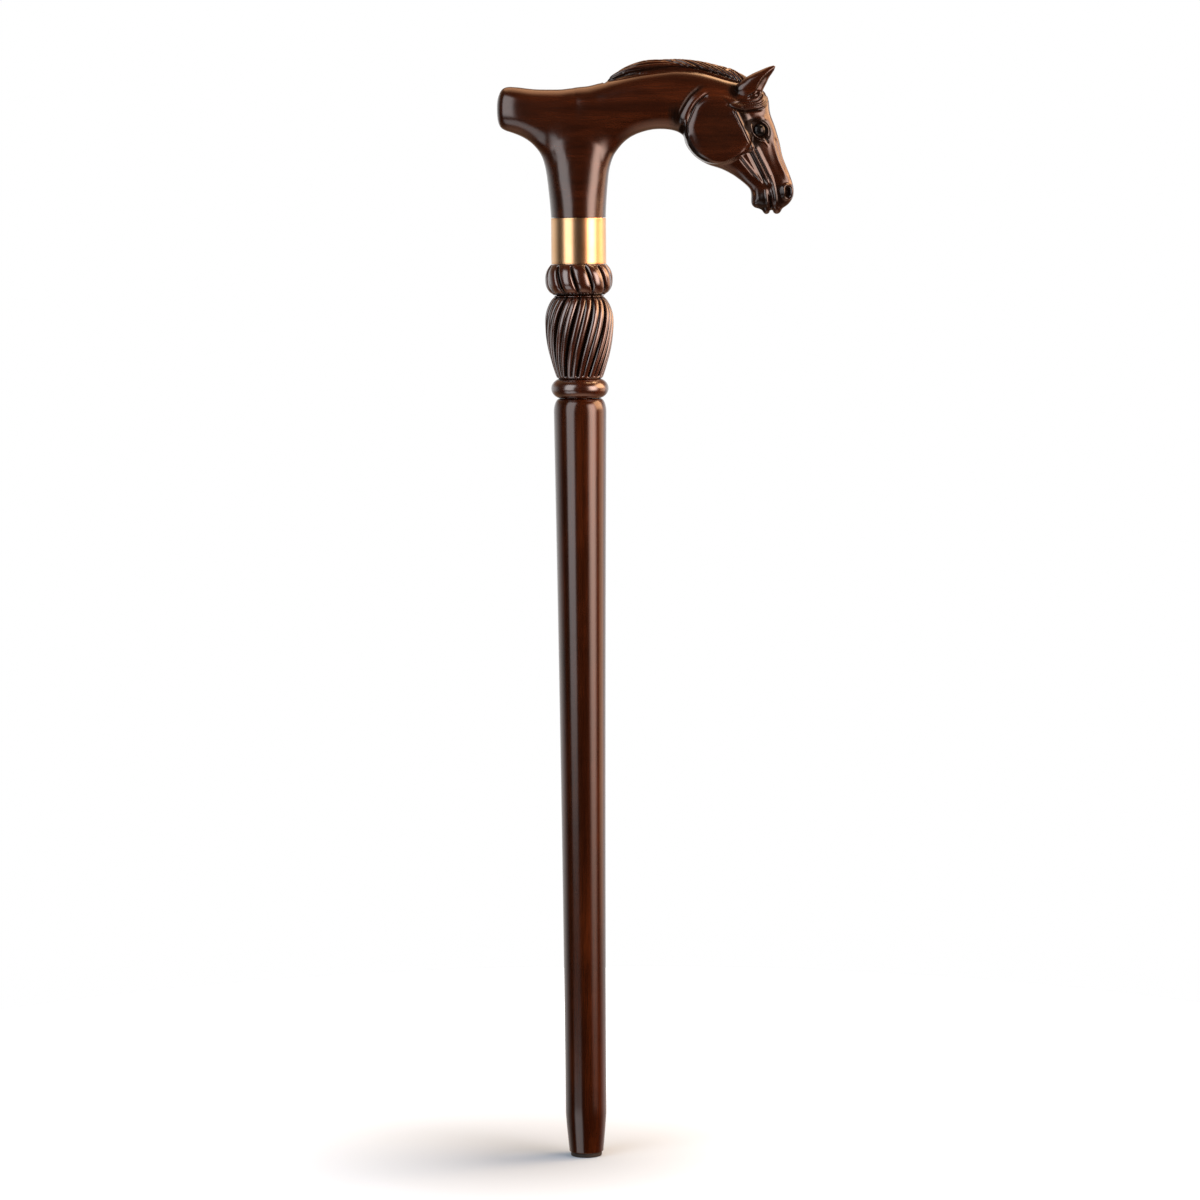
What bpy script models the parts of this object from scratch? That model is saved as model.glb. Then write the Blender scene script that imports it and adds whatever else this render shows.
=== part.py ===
"""Carved walking cane: horse-head handle, brass collar, spiral-carved section and tapered shaft.

The cane stands on its foot with the origin at the centre of the flat sole, +Z up the shaft
and +X the way the horse looks. All sizes are in metres.
"""

import math

import bmesh
import bpy
from mathutils import Matrix, Vector
from mathutils.bvhtree import BVHTree

OBJECT_NAME = "carved_walking_cane"

# Fits
FIT_GAP = 0.0003              # left between pieces that touch
BLIND_SPACE = 0.0010          # left past the end of a rod or tenon in its blind bore
JOIN_OVERLAP = 0.0015         # how far shapes that are joined run into each other

# Foot pad, a rubber sole with a push-in stem
PAD_THICKNESS = 0.0030
PAD_INSET = 0.0003            # the sole lies this far inside the shaft's end face
PAD_EDGE_ROUND = 0.0007
PAD_STEM_RADIUS = 0.0040
PAD_STEM_LENGTH = 0.0120

# Shaft
SHAFT_LENGTH = 0.5938
SHAFT_TOP_RADIUS = 0.0205
SHAFT_LOW_RADIUS = 0.0161     # above the tapered foot
SHAFT_FOOT_RADIUS = 0.0135    # at the sole
SHAFT_FOOT_TAPER = 0.0320     # height of the tapered foot
SHAFT_SHOULDER_DROP = 0.0105  # height of the rounded shoulder at the top
SHAFT_SHOULDER_INSET = 0.0046
SHAFT_EDGE_ROUND = 0.0010
SHAFT_TAPER_POWER = 1.55      # the taper quickens towards the top

# Tenon of the carved section in the shaft
TENON_RADIUS = 0.0090
TENON_LENGTH = 0.0360

# Turned ring under the vase
RING_RADIUS = 0.0223
RING_HEIGHT = 0.0150
RING_NECK_RADIUS = 0.0160

# Vase: twelve lobes of two ribs each
VASE_HEIGHT = 0.0640
VASE_RADIUS = 0.0268
VASE_FOOT_RADIUS = 0.0175
VASE_WAIST_RADIUS = 0.0196    # at the waist under the bead
VASE_BELLY_SHARE = 0.33       # where the vase is widest, from its top
VASE_TWIST = -39.0            # degrees from top to bottom

# Bead above the vase: the same twelve lobes, twisted the other way
BEAD_HEIGHT = 0.0244
BEAD_RADIUS = 0.0263
BEAD_TOP_LIP = 0.0004         # how far its top stands out past the collar
BEAD_TWIST = 18.0

# Outlines and grooves of both
VASE_SHOULDER_POWER = 2.3     # how late the vase turns in to the waist
VASE_TAPER_POWER = 1.8        # how late it narrows to its foot
BEAD_POWER = 2.5              # squareness of the bead's outline
LOBES = 12
LOBE_POWER = 3.0              # squareness of a lobe across
LOBE_GROOVE_DEPTH = 0.0034
RIB_GROOVE_DEPTH = 0.0013
RIB_GROOVE_SHARE = 0.30       # width of the groove that splits a lobe, as a share of the lobe
VASE_DEEPEST_AT = 0.50        # where the vase's grooves are deepest, from its top
VASE_FOOT_LOSS = 0.55         # share of their depth that they lose from there to its foot
BEAD_GROOVE_WAVE = (0.08, 0.88)  # stretch of a half wave that the bead's depth follows
WAIST_GROOVE_SHARE = 0.22     # how much of the groove depth is left at the waist
GROOVE_PHASE = 1.0            # degrees, turns the grooves to where the front shows them

# Collar
COLLAR_LENGTH = 0.0357
COLLAR_RADIUS = 0.0213
COLLAR_WALL = 0.0020
COLLAR_EDGE = 0.0004
LOWER_SPIGOT_LENGTH = 0.0180  # the carved section's share of the collar

# Stud that joins handle and carved section
STUD_RADIUS = 0.0050
STUD_LENGTH = 0.0900
STUD_CHAMFER = 0.0010
STUD_DEPTH_BELOW = 0.0260     # how far it reaches below the collar

# Eyes
EYE_RADIUS = 0.0047
EYE_DOME = 0.0024
EYE_DEPTH = 0.0040
EYE_PLACE = (0.1406, 0.0660)  # along and above the handle's base
EYE_LID_RADIUS = 0.0009
EYE_CORNER_ANGLE = -56.0      # degrees, the lid's corner, from straight ahead
EYE_CORNER_REACH = 0.0030     # how far the corner is drawn out
EYE_CORNER_POWER = 8.0        # how pointed it is
SOCKET_DOME = 0.0060          # the socket's cutter stands out this far, past the lids

# Nostrils and mouth
NOSTRIL_PLACE = (0.1625, 0.0182)
NOSTRIL_RADII = (0.0026, 0.0032)
NOSTRIL_DEPTH = 0.0040
MOUTH_TOP = (0.1466, 0.0200)
MOUTH_BOTTOM = (0.1496, 0.0018)
MOUTH_WIDTH = 0.0013

# Cheeks, a round pillow let into each side of the head
CHEEK_PLACE = (0.1085, 0.0665)
CHEEK_RADIUS = 0.0266
CHEEK_STANDS_OUT = 0.0172     # from the middle of the head to the cheek's face
CHEEK_HALF_THICKNESS = 0.0085
CHEEK_SQUARENESS = 3.0
CHEEK_TILT = 5.0              # degrees, the face turned to the front and up

# Mesh fineness
TURNED_STEPS = 36
BORE_STEPS = 20
SECTION_POINTS = 28
STEPS_BETWEEN_STATIONS = 3
BLEND_VOXEL = 0.0013
BLEND_PASSES = 6
BLEND_TRIANGLE_SHARE = 0.045
COLUMNS_IN_LOBE = 6
BEAD_ROWS = 7
VASE_ROWS = 12
VASE_ROW_POWER = 1.15         # draws the rows together at the waist
RING_STEPS = 9
RING_BULGE_POWER = 1.35
SHOULDER_STEPS = 6
SHAFT_ROWS = 7
COLLAR_STEPS = 48
CHEEK_STEPS = (12, 40)        # over the pillow's edge and round it
LID_POINTS = 16
PATH_STEPS = 2                # points for each run between a strand's guide points

# Heights of the pieces, from the sole up
SHAFT_Z = PAD_THICKNESS + FIT_GAP
PAD_RADIUS = SHAFT_FOOT_RADIUS - SHAFT_EDGE_ROUND - PAD_INSET
BEAD_TOP_RADIUS = COLLAR_RADIUS + BEAD_TOP_LIP
SECTION_Z = SHAFT_Z + SHAFT_LENGTH + FIT_GAP
SECTION_LENGTH = RING_HEIGHT + VASE_HEIGHT + BEAD_HEIGHT
COLLAR_Z = SECTION_Z + SECTION_LENGTH + FIT_GAP
HANDLE_Z = COLLAR_Z + COLLAR_LENGTH + FIT_GAP
SPIGOT_RADIUS = COLLAR_RADIUS - COLLAR_WALL - FIT_GAP
UPPER_SPIGOT_LENGTH = HANDLE_Z - (COLLAR_Z + LOWER_SPIGOT_LENGTH) - FIT_GAP
STUD_Z = COLLAR_Z - STUD_DEPTH_BELOW

POST_ALLOWANCE = 0.0080       # the handle's post starts this far down, to be cut flat

# The handle's stations. Each is a section in the plane through two points of the side
# outline and across the handle: inner point and outer point (along, above the handle's
# base), half width, squareness (2 is an ellipse) and how much narrower the outer side is.
POST_TOP = [
    ((0.0216, 0.0080), (-0.0218, 0.0080), 0.0212, 2.0, 0.0),
    ((0.0222, 0.0170), (-0.0226, 0.0170), 0.0208, 2.0, 0.0),
]

GRIP_STATIONS = [
    ((-0.0239, 0.0290), (0.0232, 0.0310), 0.0203, 2.1, 0.0),
    ((-0.0249, 0.0360), (0.0250, 0.0460), 0.0196, 2.1, 0.0),
    ((-0.0262, 0.0420), (0.0260, 0.0620), 0.0189, 2.2, 0.0),
    ((-0.0282, 0.0477), (0.0200, 0.0840), 0.0182, 2.2, 0.0),
    ((-0.0315, 0.0529), (0.0040, 0.0970), 0.0174, 2.2, 0.0),
    ((-0.0370, 0.0585), (-0.0150, 0.0966), 0.0168, 2.3, 0.0),
    ((-0.0435, 0.0626), (-0.0330, 0.0968), 0.0163, 2.3, 0.0),
    ((-0.0500, 0.0653), (-0.0470, 0.0982), 0.0158, 2.3, 0.0),
    ((-0.0560, 0.0678), (-0.0553, 0.0992), 0.0150, 2.3, 0.0),
    ((-0.0594, 0.0704), (-0.0588, 0.0977), 0.0136, 2.3, 0.0),
    ((-0.0614, 0.0745), (-0.0612, 0.0932), 0.0104, 2.3, 0.0),
    ((-0.0623, 0.0790), (-0.0623, 0.0885), 0.0064, 2.3, 0.0),
]

# The straight run over the post, which both lofts above leave thin at the top
BRIDGE_STATIONS = [
    ((-0.0420, 0.0660), (-0.0400, 0.0960), 0.0120, 2.2, 0.0),
    ((-0.0300, 0.0600), (-0.0280, 0.0966), 0.0164, 2.2, 0.0),
    ((-0.0100, 0.0500), (-0.0090, 0.0967), 0.0171, 2.2, 0.0),
    ((0.0110, 0.0470), (0.0080, 0.0988), 0.0172, 2.2, 0.0),
    ((0.0290, 0.0555), (0.0260, 0.1046), 0.0168, 2.2, 0.05),
    ((0.0450, 0.0665), (0.0420, 0.1080), 0.0140, 2.2, 0.10),
]

HEAD_STATIONS = [
    ((0.0233, 0.0290), (-0.0239, 0.0310), 0.0203, 2.1, 0.0),
    ((0.0242, 0.0360), (-0.0253, 0.0460), 0.0196, 2.1, 0.0),
    ((0.0256, 0.0417), (-0.0280, 0.0620), 0.0189, 2.2, 0.0),
    ((0.0279, 0.0477), (-0.0240, 0.0840), 0.0182, 2.2, 0.0),
    ((0.0310, 0.0532), (-0.0080, 0.0962), 0.0175, 2.2, 0.0),
    ((0.0355, 0.0586), (0.0100, 0.1000), 0.0170, 2.2, 0.05),
    ((0.0420, 0.0633), (0.0270, 0.1054), 0.0166, 2.2, 0.10),
    ((0.0510, 0.0664), (0.0440, 0.1099), 0.0162, 2.2, 0.15),
    ((0.0600, 0.0674), (0.0600, 0.1130), 0.0158, 2.2, 0.18),
    ((0.0695, 0.0672), (0.0780, 0.1146), 0.0154, 2.2, 0.20),
    ((0.0770, 0.0654), (0.0970, 0.1128), 0.0152, 2.2, 0.22),
    ((0.0815, 0.0622), (0.1150, 0.1076), 0.0152, 2.2, 0.22),
    ((0.0828, 0.0572), (0.1290, 0.1025), 0.0154, 2.2, 0.18),
    ((0.0855, 0.0520), (0.1400, 0.0980), 0.0154, 2.3, 0.10),
    ((0.0910, 0.0458), (0.1468, 0.0900), 0.0150, 2.3, 0.08),
    ((0.1000, 0.0402), (0.1487, 0.0790), 0.0140, 2.3, 0.10),
    ((0.1105, 0.0366), (0.1530, 0.0675), 0.0125, 2.3, 0.14),
    ((0.1185, 0.0326), (0.1554, 0.0560), 0.0106, 2.2, 0.16),
    ((0.1246, 0.0284), (0.1569, 0.0450), 0.0092, 2.2, 0.18),
    ((0.1296, 0.0243), (0.1596, 0.0358), 0.0084, 2.2, 0.18),
    ((0.1330, 0.0205), (0.1630, 0.0284), 0.0083, 2.2, 0.10),
    ((0.1338, 0.0160), (0.1669, 0.0210), 0.0087, 2.3, 0.0),
    ((0.1338, 0.0118), (0.1663, 0.0143), 0.0085, 2.3, 0.0),
    ((0.1360, 0.0078), (0.1625, 0.0088), 0.0070, 2.2, 0.0),
    ((0.1410, 0.0050), (0.1570, 0.0052), 0.0042, 2.2, 0.0),
]

MANE_STATIONS = [
    ((0.0170, 0.1000), (0.0190, 0.1030), 0.0015, 2.0, 0.3),
    ((0.0260, 0.1010), (0.0270, 0.1094), 0.0040, 2.0, 0.3),
    ((0.0380, 0.1040), (0.0385, 0.1156), 0.0052, 2.0, 0.3),
    ((0.0520, 0.1070), (0.0520, 0.1197), 0.0058, 2.0, 0.3),
    ((0.0660, 0.1090), (0.0660, 0.1212), 0.0060, 2.0, 0.3),
    ((0.0800, 0.1100), (0.0810, 0.1213), 0.0060, 2.0, 0.3),
    ((0.0930, 0.1080), (0.0950, 0.1196), 0.0060, 2.0, 0.3),
    ((0.1050, 0.1040), (0.1080, 0.1166), 0.0060, 2.0, 0.3),
    ((0.1160, 0.1000), (0.1210, 0.1124), 0.0058, 2.0, 0.3),
    ((0.1250, 0.0960), (0.1310, 0.1070), 0.0050, 2.0, 0.3),
    ((0.1310, 0.0920), (0.1370, 0.1010), 0.0035, 2.0, 0.3),
]

EAR_STATIONS = [
    ((0.1240, 0.0900), (0.1420, 0.0890), 0.0050, 2.2, 0.0),
    ((0.1222, 0.0980), (0.1440, 0.0978), 0.0052, 2.2, 0.0),
    ((0.1288, 0.1042), (0.1466, 0.1028), 0.0047, 2.2, 0.0),
    ((0.1343, 0.1088), (0.1486, 0.1066), 0.0040, 2.2, 0.0),
    ((0.1410, 0.1118), (0.1506, 0.1098), 0.0030, 2.2, 0.0),
    ((0.1470, 0.1142), (0.1520, 0.1122), 0.0018, 2.2, 0.0),
    ((0.1512, 0.1154), (0.1528, 0.1146), 0.0007, 2.2, 0.0),
]
EAR_BASE_OFFSET = 0.0080      # from the middle to each ear
EAR_SPLAY = 0.0022            # how much further out the tip stands

EAR_HOLLOW_STATIONS = [
    ((0.1362, 0.0965), (0.1480, 0.0955), 0.0040, 2.0, 0.0),
    ((0.1392, 0.1005), (0.1495, 0.0995), 0.0040, 2.0, 0.0),
    ((0.1425, 0.1045), (0.1510, 0.1035), 0.0034, 2.0, 0.0),
    ((0.1462, 0.1085), (0.1520, 0.1075), 0.0024, 2.0, 0.0),
    ((0.1494, 0.1115), (0.1524, 0.1108), 0.0012, 2.0, 0.0),
]
EAR_HOLLOW_OUT = 0.0044       # the hollow lies this far out of the ear's middle

# Swellings of the head: middle (along, out, above) and half sizes
BROW = ((0.1400, 0.0092, 0.0742), (0.0086, 0.0042, 0.0036))
NOSTRIL_SWELL = ((0.1610, 0.0056, 0.0185), (0.0056, 0.0048, 0.0064))
CHIN_SWELL = ((0.1390, 0.0000, 0.0115), (0.0054, 0.0064, 0.0056))
LOWER_LIP = ((0.1456, 0.0000, 0.0068), (0.0036, 0.0058, 0.0056))
UPPER_LIP = ((0.1536, 0.0000, 0.0075), (0.0044, 0.0064, 0.0062))

FORELOCK_STRANDS = 4
FORELOCK_STRAND_RADIUS = 0.0017
# Along, out and above for the lowest strand, and how much higher the highest one lies
FORELOCK_PATH = [
    (0.1180, 0.0170, 0.0842, 0.0015),
    (0.1270, 0.0170, 0.0822, 0.0050),
    (0.1370, 0.0150, 0.0818, 0.0085),
    (0.1450, 0.0080, 0.0830, 0.0115),
    (0.1480, 0.0000, 0.0845, 0.0120),
]
MANE_STRANDS = 7
MANE_STRAND_RADIUS = 0.0015
MANE_FIRST_STRAND = 0.0240
MANE_STRAND_SPACING = 0.0128
MANE_STRAND_RUN = 0.0300      # length of the first strand along the crest
MANE_RUN_LOSS = 0.0008        # how much shorter each next one is
MANE_STRAND_OUT = (0.0012, 0.0062)  # how far from the middle a strand starts and ends
MANE_STRAND_SUNK = 0.0008     # how far below the crest it starts
MANE_STRAND_DROP = 0.0072     # how much lower it ends
FACE_RIDGE_RADIUS = 0.0011
# The thin ridges down the side of the face (along, above)
FACE_RIDGES = [
    [(0.1222, 0.0800), (0.1290, 0.0650), (0.1352, 0.0495)],
    [(0.1347, 0.0486), (0.1430, 0.0350), (0.1500, 0.0215)],
    [(0.1258, 0.0450), (0.1350, 0.0340), (0.1428, 0.0235)],
]
NECK_FOLD_RADIUS = 0.0026
NECK_FOLD_SUNK = 0.0012
NECK_FOLD_PATH = [(0.0812, 0.0610), (0.0806, 0.0730), (0.0868, 0.0850), (0.0975, 0.0940)]

SKIN_RAY_START = 0.1          # out from the middle, further than any part of the handle

parts = None
helpers = None


# Scene helpers

def clear_scene():
    for obj in list(bpy.data.objects):
        bpy.data.objects.remove(obj, do_unlink=True)


def new_collection(name):
    collection = bpy.data.collections.new(name)
    bpy.context.scene.collection.children.link(collection)
    return collection


def material(name, colour, roughness, metallic=0.0, coat=0.0):
    mat = bpy.data.materials.new(name)
    mat.use_nodes = True
    shader = mat.node_tree.nodes["Principled BSDF"]
    shader.inputs["Base Color"].default_value = (*colour, 1.0)
    shader.inputs["Roughness"].default_value = roughness
    shader.inputs["Metallic"].default_value = metallic
    shader.inputs["Coat Weight"].default_value = coat
    mat.diffuse_color = (*colour, 1.0)
    return mat


def add_part(name, mesh, mat, height):
    obj = bpy.data.objects.new(name, mesh)
    obj.location = (0.0, 0.0, height)
    parts.objects.link(obj)
    mesh.materials.clear()
    mesh.materials.append(mat)
    return obj


def add_helper(name, mesh, height):
    """A cutter or an addition, left out of the model itself."""
    obj = bpy.data.objects.new(name, mesh)
    obj.location = (0.0, 0.0, height)
    helpers.objects.link(obj)
    obj.hide_render = True
    obj.display_type = "WIRE"
    return obj


def shade_round(mesh, angle=math.radians(35.0)):
    mesh.shade_smooth()
    mesh.set_sharp_from_angle(angle=angle)


def boolean(obj, other, operation):
    modifier = obj.modifiers.new(other.name, "BOOLEAN")
    modifier.operation = operation
    modifier.solver = "EXACT"
    modifier.object = other


def boolean_all(obj, others, operation):
    """One Boolean with a whole set of helpers, which may overlap each other."""
    collection = bpy.data.collections.new(obj.name + "_" + operation.lower())
    helpers.children.link(collection)
    for other in others:
        helpers.objects.unlink(other)
        collection.objects.link(other)
    modifier = obj.modifiers.new(collection.name, "BOOLEAN")
    modifier.operation = operation
    modifier.solver = "EXACT"
    modifier.operand_type = "COLLECTION"
    modifier.collection = collection


def evaluated_mesh(obj):
    graph = bpy.context.evaluated_depsgraph_get()
    graph.update()
    return bpy.data.meshes.new_from_object(obj.evaluated_get(graph), depsgraph=graph)


# Shapes

def turned(name, profile, steps=TURNED_STEPS, closed=False):
    """Mesh of a profile of (radius, height) points turned about Z with a Screw modifier."""
    mesh = bpy.data.meshes.new(name)
    points = [(radius, 0.0, height) for radius, height in profile]
    edges = [(k, k + 1) for k in range(len(points) - 1)]
    if closed:
        edges.append((len(points) - 1, 0))
    mesh.from_pydata(points, edges, [])
    blank = bpy.data.objects.new(name + "_profile", mesh)
    bpy.context.scene.collection.objects.link(blank)
    screw = blank.modifiers.new("turn", "SCREW")
    screw.axis = "Z"
    screw.angle = math.tau
    screw.steps = steps
    screw.render_steps = steps
    screw.use_merge_vertices = True
    screw.merge_threshold = 0.00001
    result = evaluated_mesh(blank)
    bpy.data.objects.remove(blank, do_unlink=True)
    bpy.data.meshes.remove(mesh)
    result.name = name
    shade_round(result)
    return result


def rounded_corner(corner, radius, start, end, steps):
    """Points of an outer corner arc, from the angle start to the angle end in degrees."""
    points = []
    for k in range(steps + 1):
        angle = math.radians(start + (end - start) * k / steps)
        points.append((corner[0] + radius * math.cos(angle), corner[1] + radius * math.sin(angle)))
    return points


def signed_power(value, power):
    return math.copysign(abs(value) ** power, value)


def section_ring(station, offset=0.0, count=SECTION_POINTS):
    """Ring in the plane through the station's two outline points and the Y direction."""
    inner, outer, half_width, squareness, narrowing = station
    low = Vector((inner[0], 0.0, inner[1]))
    high = Vector((outer[0], 0.0, outer[1]))
    middle = (low + high) / 2.0
    half = (high - low) / 2.0
    ring = []
    for k in range(count):
        angle = math.tau * k / count
        across = signed_power(math.cos(angle), 2.0 / squareness)
        along = signed_power(math.sin(angle), 2.0 / squareness)
        width = half_width * across * (1.0 - narrowing * along)
        ring.append(middle + half * along + Vector((0.0, offset + width, 0.0)))
    return ring


def flat_station(station):
    inner, outer, half_width, squareness, narrowing = station
    return [*inner, *outer, half_width, squareness, narrowing]


def catmull_rom(before, start, end, after, t):
    return 0.5 * (2.0 * start + (end - before) * t
                  + (2.0 * before - 5.0 * start + 4.0 * end - after) * t ** 2
                  + (3.0 * start - before - 3.0 * end + after) * t ** 3)


def smooth_stations(stations, steps=STEPS_BETWEEN_STATIONS):
    """The stations with others between them, on smooth curves through their values."""
    rows = [flat_station(station) for station in stations]
    result = []
    last = len(rows) - 1
    for k in range(last):
        around = [rows[max(k - 1, 0)], rows[k], rows[k + 1], rows[min(k + 2, last)]]
        for step in range(steps):
            values = [catmull_rom(*four, step / steps) for four in zip(*around)]
            result.append(values)
    result.append(rows[last])
    return [((v[0], v[1]), (v[2], v[3]), max(v[4], 0.0003), v[5], v[6]) for v in result]


def loft(name, rings):
    """Closed body through rings of equal count."""
    bm = bmesh.new()
    rows = [[bm.verts.new(point) for point in ring] for ring in rings]
    count = len(rows[0])
    for lower, upper in zip(rows, rows[1:]):
        for k in range(count):
            following = (k + 1) % count
            bm.faces.new((lower[k], lower[following], upper[following], upper[k]))
    bm.faces.new(rows[0])
    bm.faces.new(rows[-1])
    bmesh.ops.recalc_face_normals(bm, faces=bm.faces)
    mesh = bpy.data.meshes.new(name)
    bm.to_mesh(mesh)
    bm.free()
    shade_round(mesh)
    return mesh


def ellipsoid(name, middle, half_sizes, side=1.0):
    bm = bmesh.new()
    bmesh.ops.create_uvsphere(bm, u_segments=20, v_segments=12, radius=1.0)
    place = Matrix.Translation((middle[0], middle[1] * side, middle[2]))
    bmesh.ops.transform(bm, matrix=place @ Matrix.Diagonal((*half_sizes, 1.0)), verts=bm.verts)
    mesh = bpy.data.meshes.new(name)
    bm.to_mesh(mesh)
    bm.free()
    return mesh


def rod(name, points, radii, bevel_resolution=0, closed=False):
    """Mesh of a curve with a bevel, its radius given at each point and its caps welded."""
    curve = bpy.data.curves.new(name, "CURVE")
    curve.dimensions = "3D"
    curve.bevel_depth = 1.0
    curve.bevel_resolution = bevel_resolution
    curve.use_fill_caps = True
    spline = curve.splines.new("POLY")
    spline.points.add(len(points) - 1)
    spline.use_cyclic_u = closed
    for node, point, radius in zip(spline.points, points, radii):
        node.co = (*point, 1.0)
        node.radius = radius
    holder = bpy.data.objects.new(name + "_curve", curve)
    bpy.context.scene.collection.objects.link(holder)
    mesh = evaluated_mesh(holder)
    bpy.data.objects.remove(holder, do_unlink=True)
    bm = bmesh.new()
    bm.from_mesh(mesh)
    bmesh.ops.remove_doubles(bm, verts=bm.verts, dist=0.00001)
    bmesh.ops.recalc_face_normals(bm, faces=bm.faces)
    bm.to_mesh(mesh)
    bm.free()
    mesh.name = name
    shade_round(mesh)
    return mesh


def joined(name, meshes):
    bm = bmesh.new()
    for mesh in meshes:
        bm.from_mesh(mesh)
    result = bpy.data.meshes.new(name)
    bm.to_mesh(result)
    bm.free()
    return result


# Foot pad

def build_foot_pad(mat):
    sole = rounded_corner((PAD_RADIUS - PAD_EDGE_ROUND, PAD_EDGE_ROUND), PAD_EDGE_ROUND, 0.0, -90.0, 3)
    profile = [(0.0, PAD_THICKNESS + PAD_STEM_LENGTH),
               (PAD_STEM_RADIUS, PAD_THICKNESS + PAD_STEM_LENGTH),
               (PAD_STEM_RADIUS, PAD_THICKNESS),
               (PAD_RADIUS, PAD_THICKNESS), *sole, (0.0, 0.0)]
    return add_part("foot_pad", turned("foot_pad", profile), mat, 0.0)


# Shaft

def shaft_radius(height):
    """Radius between the foot's taper and the shoulder."""
    share = (height - SHAFT_FOOT_TAPER) / (SHAFT_LENGTH - SHAFT_SHOULDER_DROP - SHAFT_FOOT_TAPER)
    share = min(max(share, 0.0), 1.0)
    return SHAFT_LOW_RADIUS + (SHAFT_TOP_RADIUS - SHAFT_LOW_RADIUS) * share ** SHAFT_TAPER_POWER


def build_shaft(mat):
    bore = TENON_RADIUS + FIT_GAP
    bore_floor = SHAFT_LENGTH - TENON_LENGTH - BLIND_SPACE
    stem_bore = PAD_STEM_RADIUS + FIT_GAP
    stem_top = PAD_STEM_LENGTH + BLIND_SPACE
    profile = [(0.0, bore_floor), (bore, bore_floor), (bore, SHAFT_LENGTH)]
    for k in range(SHOULDER_STEPS):
        angle = math.pi / 2.0 * k / SHOULDER_STEPS
        profile.append((SHAFT_TOP_RADIUS - SHAFT_SHOULDER_INSET * (1.0 - math.sin(angle)),
                        SHAFT_LENGTH - SHAFT_SHOULDER_DROP * (1.0 - math.cos(angle))))
    top = SHAFT_LENGTH - SHAFT_SHOULDER_DROP
    for k in range(SHAFT_ROWS + 1):
        height = top + (SHAFT_FOOT_TAPER - top) * k / SHAFT_ROWS
        profile.append((shaft_radius(height), height))
    profile.append((SHAFT_FOOT_RADIUS, SHAFT_EDGE_ROUND))
    profile.append((SHAFT_FOOT_RADIUS - SHAFT_EDGE_ROUND, 0.0))
    profile += [(stem_bore, 0.0), (stem_bore, stem_top), (0.0, stem_top)]
    return add_part("shaft", turned("shaft", profile), mat, SHAFT_Z)


# Carved section

def envelope_radius(height):
    """Radius over the lobes, from the foot of the vase to the top of the bead."""
    waist = RING_HEIGHT + VASE_HEIGHT
    if height < waist:
        from_top = (waist - height) / VASE_HEIGHT
        if from_top < VASE_BELLY_SHARE:
            share = 1.0 - from_top / VASE_BELLY_SHARE
            return VASE_RADIUS - (VASE_RADIUS - VASE_WAIST_RADIUS) * share ** VASE_SHOULDER_POWER
        share = (from_top - VASE_BELLY_SHARE) / (1.0 - VASE_BELLY_SHARE)
        return VASE_RADIUS - (VASE_RADIUS - VASE_FOOT_RADIUS) * share ** VASE_TAPER_POWER
    share = (height - waist) / BEAD_HEIGHT * 2.0 - 1.0
    end = VASE_WAIST_RADIUS if share < 0.0 else BEAD_TOP_RADIUS
    return BEAD_RADIUS - (BEAD_RADIUS - end) * abs(share) ** BEAD_POWER


def twist(height):
    """Angle of the grooves in radians; both twists meet at the waist."""
    waist = RING_HEIGHT + VASE_HEIGHT
    if height < waist:
        return math.radians(VASE_TWIST) * (waist - height) / VASE_HEIGHT
    return -math.radians(BEAD_TWIST) * (height - waist) / BEAD_HEIGHT


def groove_share(height):
    """Groove depth as a share of the deepest, fading to the waist and the ends."""
    waist = RING_HEIGHT + VASE_HEIGHT
    if height < waist:
        share = (waist - height) / VASE_HEIGHT
        if share < VASE_DEEPEST_AT:
            swell = math.sin(math.pi / 2.0 * share / VASE_DEEPEST_AT)
        else:
            swell = 1.0 - VASE_FOOT_LOSS * (share - VASE_DEEPEST_AT) / (1.0 - VASE_DEEPEST_AT)
    else:
        share = (height - waist) / BEAD_HEIGHT
        start, end = BEAD_GROOVE_WAVE
        swell = math.sin(math.pi * (start + (end - start) * share))
    return WAIST_GROOVE_SHARE + (1.0 - WAIST_GROOVE_SHARE) * max(swell, 0.0)


def flute_ring(height):
    in_vase = height < RING_HEIGHT + VASE_HEIGHT
    radius = envelope_radius(height)
    deep = LOBE_GROOVE_DEPTH * groove_share(height)
    shallow = RIB_GROOVE_DEPTH * groove_share(height) if in_vase else 0.0
    ring = []
    for lobe in range(LOBES):
        for column in range(COLUMNS_IN_LOBE):
            across = -1.0 + 2.0 * column / COLUMNS_IN_LOBE
            groove = 1.0 - math.sqrt(max(1.0 - abs(across) ** LOBE_POWER, 0.0))
            split = max(1.0 - abs(across) / RIB_GROOVE_SHARE, 0.0)
            reach = radius - deep * groove - shallow * split
            angle = math.tau * (lobe + across / 2.0) / LOBES + math.pi / LOBES
            angle += twist(height) + math.radians(GROOVE_PHASE)
            ring.append(Vector((reach * math.sin(angle), -reach * math.cos(angle), height)))
    return ring


def fluted_body():
    """Vase and bead in one loft, its rows closer together where the outline turns."""
    waist = RING_HEIGHT + VASE_HEIGHT
    foot = RING_HEIGHT - JOIN_OVERLAP
    heights = []
    for k in range(VASE_ROWS):
        share = 1.0 - (1.0 - k / VASE_ROWS) ** VASE_ROW_POWER
        heights.append(foot + (waist - foot) * share)
    for k in range(BEAD_ROWS + 1):
        share = 0.5 - 0.5 * math.cos(math.pi * k / BEAD_ROWS)
        heights.append(waist + BEAD_HEIGHT * share)
    return loft("carved_section", [flute_ring(height) for height in heights])


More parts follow.
